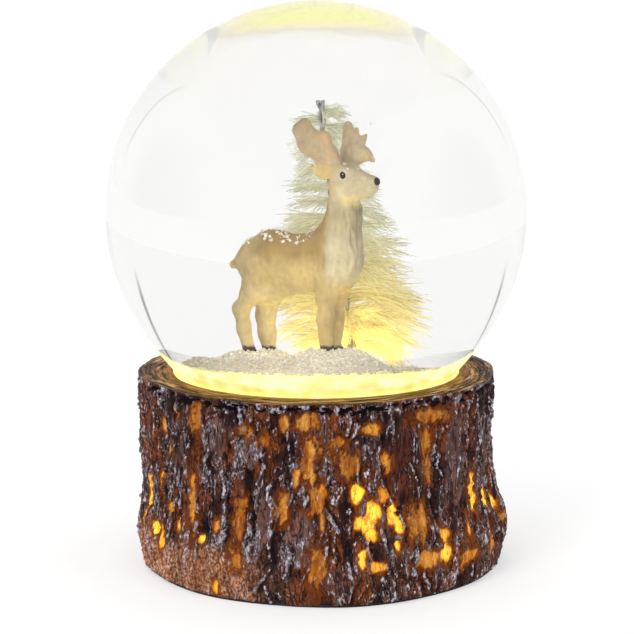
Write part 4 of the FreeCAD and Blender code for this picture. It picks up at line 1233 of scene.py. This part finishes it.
def bristle_material():
    """Frosted green-white sisal, lit yellow from below by painted light, with a painted glow on every strand.
    """
    shader = Shader("sisal")
    tone = shader.attribute("tone")
    cool = shader.colours(tone, COOL_BRISTLE)
    painted_warm_light = shader.colours(tone, BRISTLE_LIT_FROM_BELOW)
    colour = shader.mix(shader.attribute("low"), cool, painted_warm_light)
    fleck = shader.noise(0.8, detail=2)
    colour = shader.mix(shader.span(fleck, 0.35, 0.7, 0.0, 0.25), colour, (0.95, 0.93, 0.86))
    shader.colour(colour)
    shader.rough(shader.span(fleck, 0.3, 0.7, 0.45, 0.65))
    # Painted light: a glow on every strand, cream above and yellow low down
    lit = shader.mix(shader.attribute("low"), (0.24, 0.24, 0.185), (0.42, 0.37, 0.155))
    shader.glow(shader.mix(shader.span(tone, 0.1, 0.9), (0.03, 0.03, 0.01), lit), 1.0)
    return shader.material


def wire_material():
    shader = Shader("twisted_wire")
    grain = shader.noise(0.5, detail=3)
    shader.set(Metallic=1.0)
    shader.colour(shader.colours(grain, [(0.3, (0.34, 0.34, 0.33)), (0.7, (0.62, 0.62, 0.60))]))
    shader.rough(shader.span(grain, 0.3, 0.7, 0.3, 0.5))
    shader.bump(grain, 0.02, 0.4)
    return shader.material


def wire_trunk():
    """Two steel strands twisted together, cut off square at the top."""
    side = np.cross(STEM_AXIS, (0, 1, 0))
    side /= np.linalg.norm(side)
    other = np.cross(STEM_AXIS, side)
    t = np.linspace(0, 1, WIRE_POINTS)
    turn = t * STEM_LENGTH / WIRE_TWIST * TAU
    paths = []
    for phase in (0, math.pi):
        swing = side * np.cos(turn + phase)[:, None] + other * np.sin(turn + phase)[:, None]
        paths.append(TREE_FOOT + STEM_AXIS * (t * STEM_LENGTH)[:, None] + (WIRE_R + 0.02) * swing)
    verts, faces = swept_tubes(np.array(paths), np.full((2, WIRE_POINTS), WIRE_R), 14)
    piece = new_piece("tree_wire_strands", verts, faces, [wire_material()])
    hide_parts("tree_wire")


# ---------------------------------------------------------------- snow

GROUND_TOP = 54.6
GROUND_R = 27.2
GROUND_RINGS = 96
GROUND_SEGMENTS = 320

# Mounds of snow, as (x, y, half width, half depth, rise)
SNOW_MOUNDS = (
    (3.0, -8.0, 15, 12, 5.5), (-10.3, -1.0, 13, 12, 5.3), (4.0, 4.0, 20, 16, 3.4),
    (-19.0, -4.0, 10, 12, 3.2), (15.0, -2.0, 10, 12, 1.8),
)


def hill_height(x, y):
    """The top of the snow: mounds under the deer's feet, a bank on the left, lower towards the right."""
    mounds = []
    for at_x, at_y, wide, deep_shade, rise in SNOW_MOUNDS:
        away = np.hypot((x - at_x) / wide, (y - at_y) / deep_shade)
        mounds.append((rise * ramp(1.0 - away, 0.0, 0.75)) ** 4)
    top = sum(mounds) ** 0.25
    p = np.stack([x, y, np.zeros_like(x)], axis=1)
    lumps = 0.5 * fractal(p, 6.0, 401, 2) + 0.36 * fractal(p, 1.5, 407, 3)
    rim = ramp(np.hypot(x, y), GROUND_R - 1.6, GROUND_R)
    return GROUND_TOP - 0.3 + top * (1 - 0.5 * rim) + lumps * (0.45 + 0.12 * top) - 0.5 * rim


def snow_material():
    """Coarse grains; the light comes through at the rim and, behind the deer, from below."""
    shader = Shader("packed_snow")
    grain = shader.noise(0.55, detail=4)
    tones = [(0.33, (0.48, 0.43, 0.33)), (0.5, (0.69, 0.64, 0.52)), (0.68, (0.93, 0.89, 0.79))]
    shader.colour(shader.colours(grain, tones))
    shader.rough(shader.span(grain, 0.3, 0.7, 0.4, 0.8))
    shader.bump(grain, 0.3, 0.8)
    edge = shader.times(shader.attribute("edge"), shader.span(grain, 0.40, 0.60, 0.25, 1.0))
    through = shader.mix(edge, (0.10, 0.085, 0.045), (0.95, 0.80, 0.25))
    shader.glow(shader.mix(shader.attribute("behind"), through, (1.0, 0.74, 0.20)), 1.0)
    return shader.material


def snow():
    turn = np.arange(GROUND_SEGMENTS) * TAU / GROUND_SEGMENTS
    r = GROUND_R * np.sqrt(np.linspace(0.0004, 1, GROUND_RINGS))
    x, y = np.outer(r, np.cos(turn)).ravel(), np.outer(r, np.sin(turn)).ravel()
    z = hill_height(x, y)
    wave = 1 + 0.006 * smooth_noise(np.stack([x, y, z], axis=1) / 1.7, 411)
    top = np.stack([x * wave, y * wave, z], axis=1)
    foot = top[-GROUND_SEGMENTS:] * (1, 1, 0) + (0, 0, PLINTH_TOP + 0.05)
    peak = [[0, 0, z[:GROUND_SEGMENTS].mean()]]
    verts = np.vstack([top, foot, peak])
    faces = [tuple(f) for f in grid_faces(GROUND_RINGS + 1, GROUND_SEGMENTS)]
    faces += [(len(verts) - 1, k, (k + 1) % GROUND_SEGMENTS) for k in range(GROUND_SEGMENTS)]
    bottom = GROUND_RINGS * GROUND_SEGMENTS
    faces.append(tuple(bottom + k for k in range(GROUND_SEGMENTS))[::-1])
    piece = new_piece("snow_bank", verts, faces, [snow_material()])
    reach = np.hypot(verts[:, 0], verts[:, 1])
    paint(piece, "edge", ramp(reach + 0.9 * fractal(verts, 2.5, 415, 2), GROUND_R - 0.9, GROUND_R + 0.3))
    paint(piece, "behind", ramp(verts[:, 1] + fractal(verts, 5.0, 419, 2), 4.0, 9.0) * 0.7)
    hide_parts("snow_ground")


GROUND_FLAKES = 3600
BACK_FLAKES = 130
BROW_FLAKES = 9
ADRIFT_FLAKES = 8
# Flakes adrift that would be lower than this are left out
ADRIFT_FLOOR = 66


def grain_shapes(centres, sizes, rng):
    """Small irregular crystals, one at each centre."""
    base = np.array([(1, 0, 0), (-1, 0, 0), (0, 1, 0), (0, -1, 0), (0, 0, 1), (0, 0, -1)], float)
    around = ((0, 2), (2, 1), (1, 3), (3, 0))
    tris = np.array([(a, b, 4) for a, b in around] + [(b, a, 5) for a, b in around])
    count = len(centres)
    spin, _ = np.linalg.qr(rng.normal(size=(count, 3, 3)))
    stretch = rng.uniform(0.55, 1.25, (count, 6, 1))
    shapes = np.einsum("nij,kj->nki", spin, base) * stretch * np.asarray(sizes)[:, None, None]
    verts = (shapes + np.asarray(centres)[:, None]).reshape(-1, 3)
    flip = np.linalg.det(spin) < 0
    faces = tris[None] + (np.arange(count) * 6)[:, None, None]
    faces = np.where(flip[:, None, None], faces[..., ::-1], faces)
    return verts, faces.reshape(-1, 3).tolist()


def flake_material():
    shader = Shader("flakes")
    grain = shader.noise(0.4, detail=2)
    shader.colour(shader.colours(grain, [(0.38, (0.60, 0.55, 0.45)), (0.60, (0.93, 0.90, 0.83))]))
    shader.rough(shader.span(grain, 0.3, 0.7, 0.35, 0.6))
    # Painted light: a faint glow on the lighter grains
    shader.glow(shader.colours(grain, [(0.4, (0.04, 0.035, 0.02)), (0.6, (0.20, 0.18, 0.13))]), 1.0)
    return shader.material


def flakes(back, brow):
    """Loose grains on the snow, on the deer's back and brow, and a few adrift in the water."""
    rng = np.random.default_rng(9)
    reach = GROUND_R * np.sqrt(rng.uniform(0.0, 0.96, GROUND_FLAKES))
    turn = rng.uniform(0, TAU, GROUND_FLAKES)
    x, y = reach * np.cos(turn), reach * np.sin(turn)
    ground = np.stack([x, y, hill_height(x, y) + 0.08], axis=1)
    on_back = back[rng.choice(len(back), BACK_FLAKES)] + (0, 0, 0.10)
    on_brow = brow[rng.choice(len(brow), BROW_FLAKES)] + (0, 0, 0.10)
    adrift = rng.normal(0, 1, (ADRIFT_FLAKES, 3))
    adrift /= np.linalg.norm(adrift, axis=1, keepdims=True)
    adrift = adrift * rng.uniform(20, 43, (ADRIFT_FLAKES, 1)) + (0, 0, BALL_Z + 4)
    adrift = adrift[adrift[:, 2] > ADRIFT_FLOOR]
    sizes = (
        rng.uniform(0.12, 0.42, GROUND_FLAKES),
        0.14 + 0.42 * rng.uniform(0, 1, BACK_FLAKES) ** 3,
        rng.uniform(0.2, 0.42, BROW_FLAKES),
        np.full(len(adrift), 0.13),
    )
    centres = np.vstack([ground, on_back, on_brow, adrift])
    verts, faces = grain_shapes(centres, np.concatenate(sizes), rng)
    piece = new_piece("snow_grains", verts, faces, [flake_material()], smooth=False)
    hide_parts("loose_flakes")


# ---------------------------------------------------------------- glow


def glowing():
    """The translucent floor block under the snow, lit through by the LEDs."""
    shader = Shader("lit_resin")
    cloud = shader.noise(7.0, detail=4, stretch=(1, 1, 0.6))
    shader.colour(shader.colours(cloud, [(0.3, (0.50, 0.44, 0.16)), (0.7, (0.60, 0.58, 0.32))]))
    shader.set(Roughness=0.45)
    lit = [(0.38, (0.80, 0.74, 0.24)), (0.50, (0.86, 0.90, 0.44)), (0.62, (0.90, 0.96, 0.62))]
    shader.glow(shader.colours(cloud, lit), 1.0)
    shader.bump(shader.noise(0.8), 0.05, 0.4)
    bevel = 0.9
    top_edge = [(PLINTH_R - bevel, PLINTH_TOP), (PLINTH_R, PLINTH_TOP - bevel)]
    profile = [(0.0, PLINTH_TOP), *top_edge, (PLINTH_R, PLINTH_BOTTOM), (0.0, PLINTH_BOTTOM)]
    verts, faces = lathe(profile, 180)
    block = new_piece("lit_block", verts, faces, [shader.material])
    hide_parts("glow_plinth")


# ---------------------------------------------------------------- inner and lower parts


def led_material():
    shader = Shader("led_lens")
    cloud = shader.noise(1.5, detail=2)
    shader.colour(shader.colours(cloud, [(0.3, (0.95, 0.80, 0.35)), (0.7, (1.0, 0.92, 0.60))]))
    shader.set(Roughness=0.25)
    shader.glow(shader.colours(cloud, [(0.3, (1.0, 0.66, 0.16)), (0.7, (1.0, 0.84, 0.40))]), 3.0)
    return shader.material


def glue_material():
    """Amber glue whose glow is painted LED light leaking out, deeper yellow low down; up the glass it fades
    out by its alpha, reaching highest at the sides.
    """
    shader = Shader("lit_glue")
    cloud = shader.noise(4.0, detail=4)
    shader.colour(shader.colours(cloud, [(0.3, (0.42, 0.38, 0.14)), (0.7, (0.50, 0.48, 0.26))]))
    shader.set(Roughness=0.35, Specular_IOR_Level=0.2)
    tones = [(0.36, (0.70, 0.66, 0.22)), (0.5, (0.76, 0.80, 0.38)), (0.62, (0.82, 0.86, 0.54))]
    lit = shader.colours(cloud, tones)
    low = shader.colours(cloud, [(0.36, (0.68, 0.58, 0.09)), (0.62, (0.80, 0.79, 0.26))])
    shader.glow(shader.mix(shader.span(shader.attribute("low"), 0.0, 1.0), lit, low), 1.0)
    shader.join(shader.attribute("glow_sheet"), shader.surface.inputs["Alpha"])
    shader.bump(shader.noise(1.0), 0.05, 0.4)
    return shader.material


COLLAR_SEGMENTS = 300
# Foot and rise of the sheet of painted glow drawn up the glass
GLOW_SHEET_FOOT = 46.6
GLOW_SHEET_RISE = 7.6
# Gaps that keep the glue off the ball and the cup
BALL_GAP = 0.05
CUP_GAP = 0.1


def glue_collar():
    """The bead between ball and cup, with a sheet of painted glow drawn up the glass that thins out to
    nothing.
    """
    rise = np.linspace(0, 1, 14)
    glow_sheet_z = GLOW_SHEET_FOOT + GLOW_SHEET_RISE * rise
    ball_r = np.sqrt((BALL_R + BALL_GAP + 0.01) ** 2 - (glow_sheet_z - BALL_Z) ** 2)
    glow_sheet_r = ball_r + 0.9 * (1 - rise) ** 2 + 0.02
    inner_z = np.linspace(54.1, 46.8, 12)[::-1]
    inner_r = np.sqrt((BALL_R + BALL_GAP) ** 2 - (inner_z - BALL_Z) ** 2)
    hole_r, neck_r = NECK_HOLE_R - 0.05, NECK_R + 0.1
    down = [
        (CUP_R - CUP_GAP, 46.4), (hole_r, CUP_FLOOR - CUP_GAP), (hole_r, 40.6),
        (neck_r, 40.6), (neck_r, 44.6), (31.4, 46.0),
    ]
    loop = [*zip(glow_sheet_r[::-1], glow_sheet_z[::-1]), *down, *zip(inner_r, inner_z)]
    verts, _ = lathe(loop, COLLAR_SEGMENTS)
    faces = grid_faces(len(loop), COLLAR_SEGMENTS)[:, ::-1]
    first = np.arange(COLLAR_SEGMENTS)
    last = first + (len(loop) - 1) * COLLAR_SEGMENTS
    closing = np.stack([last, first, np.roll(first, -1), np.roll(last, -1)], axis=1)
    piece = new_piece("glue_collar", verts, np.vstack([faces, closing]), [glue_material()])
    wave = 0.8 * fractal(verts, 6.0, 501, 3)
    sides = np.abs(verts[:, 0] / np.hypot(verts[:, 0], verts[:, 1])) ** 4
    # How far up the glass the painted glow reaches, highest at the sides
    paint(piece, "glow_sheet", ramp(51.6 + wave + 2.2 * sides - verts[:, 2], 0.0, 2.6))
    # Where the painted glow turns deeper yellow, low down
    paint(piece, "low", ramp(49.0 + wave - verts[:, 2], 0.0, 1.6))
    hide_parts("seat_adhesive")


def finish_cad_nodes():
    """Materials for the CAD solids that stay as they are."""
    steel = moulded("brushed_steel", (0.60, 0.60, 0.62), 0.30, 0.3, 0.01, metallic=1.0, tone=0.1)
    black_plastic = moulded("black_abs", (0.022, 0.021, 0.022), 0.50, 0.35, 0.02)
    finishes = {
        "neck_sealant": moulded("silicone", (0.72, 0.70, 0.62), 0.35, 0.5, 0.01),
        "stopper": moulded("white_rubber", (0.70, 0.68, 0.64), 0.65, 0.3, 0.02),
        "foam_pad": moulded("black_foam", (0.018, 0.016, 0.018), 0.92, 0.35, 0.10),
        "bottom_plate": black_plastic,
        "battery_door": moulded("lid_abs", (0.026, 0.025, 0.026), 0.45, 0.35, 0.02),
        "battery_tray": black_plastic,
        "switch_body": moulded("switch_case", (0.045, 0.045, 0.05), 0.4, 0.3, 0.01),
        "switch_knob": moulded("knob_abs", (0.60, 0.60, 0.58), 0.4, 0.3, 0.01),
        "led_board": moulded("board_laminate", (0.030, 0.16, 0.06), 0.4, 0.5, 0.01),
        "led_emitters": led_material(),
        "board_components": moulded("chip_black", (0.03, 0.03, 0.032), 0.45, 0.3, 0.01),
        "battery_contacts": steel,
        "battery_springs": steel,
        "lead_red": moulded("red_pvc", (0.50, 0.03, 0.02), 0.4, 0.4, 0.01),
        "lead_black": moulded("black_pvc", (0.02, 0.02, 0.02), 0.4, 0.4, 0.01),
        "lead_white": moulded("white_pvc", (0.75, 0.74, 0.71), 0.4, 0.4, 0.01),
    }
    for name in ("bottom_screws", "door_screw", "board_screws", "switch_screws"):
        finishes[name] = steel
    jacket = moulded("cell_jacket", (0.72, 0.50, 0.16), 0.32, 0.8, 0.01, metallic=0.6, tone=0.1)
    for k in (1, 2, 3):
        finishes[f"battery_{k}"] = jacket
    for name, material in finishes.items():
        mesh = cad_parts[name].data
        mesh.materials.clear()
        mesh.materials.append(material)


# ---------------------------------------------------------------- stage


FLOOR_RADIUS = 6.0
FLOOR_COLOUR = (0.55, 0.55, 0.55)
FLOOR_GLOW = 0.76
ROOM_LIGHT = 1.09

# A pool of light painted on the floor behind the globe, in metres, and its colours from the middle out
POOL_AT = (0, 0.112, 0)
POOL_SIZE = (0.046, 0.070, 1)
POOL = (
    (0.0, (0.55, 0.57, 0.22)), (0.40, (0.56, 0.52, 0.34)), (0.66, (0.46, 0.45, 0.40)), (1.0, FLOOR_COLOUR),
)

# Two thin dark posts behind the set, one a little farther out, as the sideways part of a direction
POST_SIDE = 0.6265
POST_SHIFT = 0.0385


def studio_floor():
    """A plain pale floor. Seen through the ball, it also has a pool of yellow light painted on it behind the
    globe.
    """
    bpy.ops.mesh.primitive_circle_add(vertices=96, radius=FLOOR_RADIUS, fill_type="NGON", location=(0, 0, 0))
    floor = bpy.context.object
    floor.name = "studio_floor"
    shader = Shader("studio_floor")
    shader.set(Roughness=0.9)
    pool = shader.node("ShaderNodeMapping", vector_type="TEXTURE")
    pool.inputs["Location"].default_value = POOL_AT
    pool.inputs["Scale"].default_value = POOL_SIZE
    shader.join(shader.node("ShaderNodeTexCoord").outputs["Object"], pool.inputs["Vector"])
    away = shader.node("ShaderNodeVectorMath", operation="LENGTH")
    shader.join(pool.outputs["Vector"], away.inputs[0])
    ragged = shader.plus(away.outputs["Value"], shader.times(shader.noise(22.0, detail=3), 0.35))
    painted_warm_light = shader.colours(shader.span(ragged, 0.55, 1.22), POOL)
    through_glass = shader.node("ShaderNodeLightPath").outputs["Is Transmission Ray"]
    seen = shader.mix(through_glass, FLOOR_COLOUR, painted_warm_light)
    shader.colour(seen)
    shader.glow(seen, FLOOR_GLOW)
    floor.data.materials.append(shader.material)


def room():
    """A white room. Only seen in or through the globe, it has dim cards at its sides and two dark posts."""
    world = bpy.data.worlds.new("studio")
    world.use_nodes = True
    nodes = Nodes(world.node_tree)
    split = nodes.node("ShaderNodeSeparateXYZ")
    nodes.join(nodes.node("ShaderNodeTexCoord").outputs["Generated"], split.inputs[0])
    x, y, z = (split.outputs[axis] for axis in "XYZ")
    cards = nodes.span(nodes.math("ABSOLUTE", x), 0.78, 0.99, ROOM_LIGHT, 0.42)
    off_centre = nodes.math("ABSOLUTE", nodes.plus(x, POST_SHIFT))
    from_post = nodes.math("ABSOLUTE", nodes.minus(off_centre, POST_SIDE))
    post = nodes.span(from_post, 0.006, 0.018, 1.0, 0.0)
    tall = nodes.times(nodes.span(z, 0.06, 0.22), nodes.span(z, 0.5, 0.64, 1.0, 0.0))
    posts = nodes.times(nodes.times(post, tall), nodes.span(y, 0.1, 0.3, 0.0, 0.8))
    shaped = nodes.times(cards, nodes.minus(1.0, posts))
    straight = nodes.times(nodes.node("ShaderNodeLightPath").outputs["Is Camera Ray"], ROOM_LIGHT)
    background = nodes.tree.nodes["Background"]
    nodes.feed(background.inputs["Strength"], nodes.most(shaped, straight))
    nodes.feed(background.inputs["Color"], (1, 1, 1))
    bpy.context.scene.world = world


SUN_SPREAD = 24.0


def lamp(name, kind, at_mm, energy, colour, size_mm=10.0, towards_mm=None):
    """A lamp that lights the set but isn't seen in it; only a sun has a spread instead of a size."""
    data = bpy.data.lights.new(name, kind)
    data.energy = energy
    data.color = colour
    if kind == "AREA":
        data.size = size_mm * MM
    elif kind == "POINT":
        data.shadow_soft_size = size_mm * MM
    else:
        data.angle = math.radians(SUN_SPREAD)
    light = bpy.data.objects.new(name, data)
    light.location = Vector(at_mm) * MM
    if towards_mm is not None:
        aim = (Vector(towards_mm) - Vector(at_mm)).to_track_quat("-Z", "Y")
        light.rotation_euler = aim.to_euler()
    light.visible_camera = False
    light.visible_glossy = False
    light.visible_transmission = False
    bpy.context.scene.collection.objects.link(light)


def lights():
    """Soft key and fill outside, and inside the ball a lamp for the deer and two for the LEDs' light."""
    low_middle = (0, 0, 30)
    over_plinth = PLINTH_TOP + 5.5
    lamp("key", "SUN", (-420, -620, 520), 1.0, (1.0, 0.98, 0.96), towards_mm=low_middle)
    lamp("fill", "SUN", (600, -450, 260), 0.35, (0.96, 0.97, 1.0), towards_mm=low_middle)
    lamp("through_glass", "AREA", (-6, -39, BALL_Z - 8), 0.0075, (1.0, 0.97, 0.92), 30, (0, -5, BALL_Z - 9))
    lamp("floor_glow", "AREA", (3, 5, over_plinth), 0.0070, (1.0, 0.86, 0.36), 34, (3, 5, 200))
    lamp("led_spot", "POINT", (9.5, 2.5, over_plinth + 0.1), 0.004, (1.0, 0.85, 0.3), 2)


# The photo's camera, fitted to the ball's outline and the stump's ellipses, in metres and degrees
CAMERA_AT = (0.0002, -0.5459, BALL_Z * MM + 0.0674)
CAMERA_PITCH = 9.64
CAMERA_LENS = 131.3
CAMERA_SENSOR = 36.0
# Enough for a ray to cross both walls of the ball and the water several times
BOUNCES = 24


def camera():
    data = bpy.data.cameras.new("photo_camera")
    data.sensor_width = CAMERA_SENSOR
    data.lens = CAMERA_LENS
    view = bpy.data.objects.new("photo_camera", data)
    view.location = CAMERA_AT
    view.rotation_euler = (math.radians(90 - CAMERA_PITCH), 0, 0)
    scene = bpy.context.scene
    scene.collection.objects.link(view)
    scene.camera = view
    scene.view_settings.view_transform = "Standard"
    scene.cycles.max_bounces = BOUNCES
    scene.cycles.transmission_bounces = BOUNCES
    scene.cycles.transparent_max_bounces = BOUNCES


# ---------------------------------------------------------------- build

camera()
studio_floor()
room()
lights()
glass_globe()
water()
stump()
flakes(*deer())
wire_trunk()
bristles()
snow()
glowing()
glue_collar()
finish_cad_nodes()
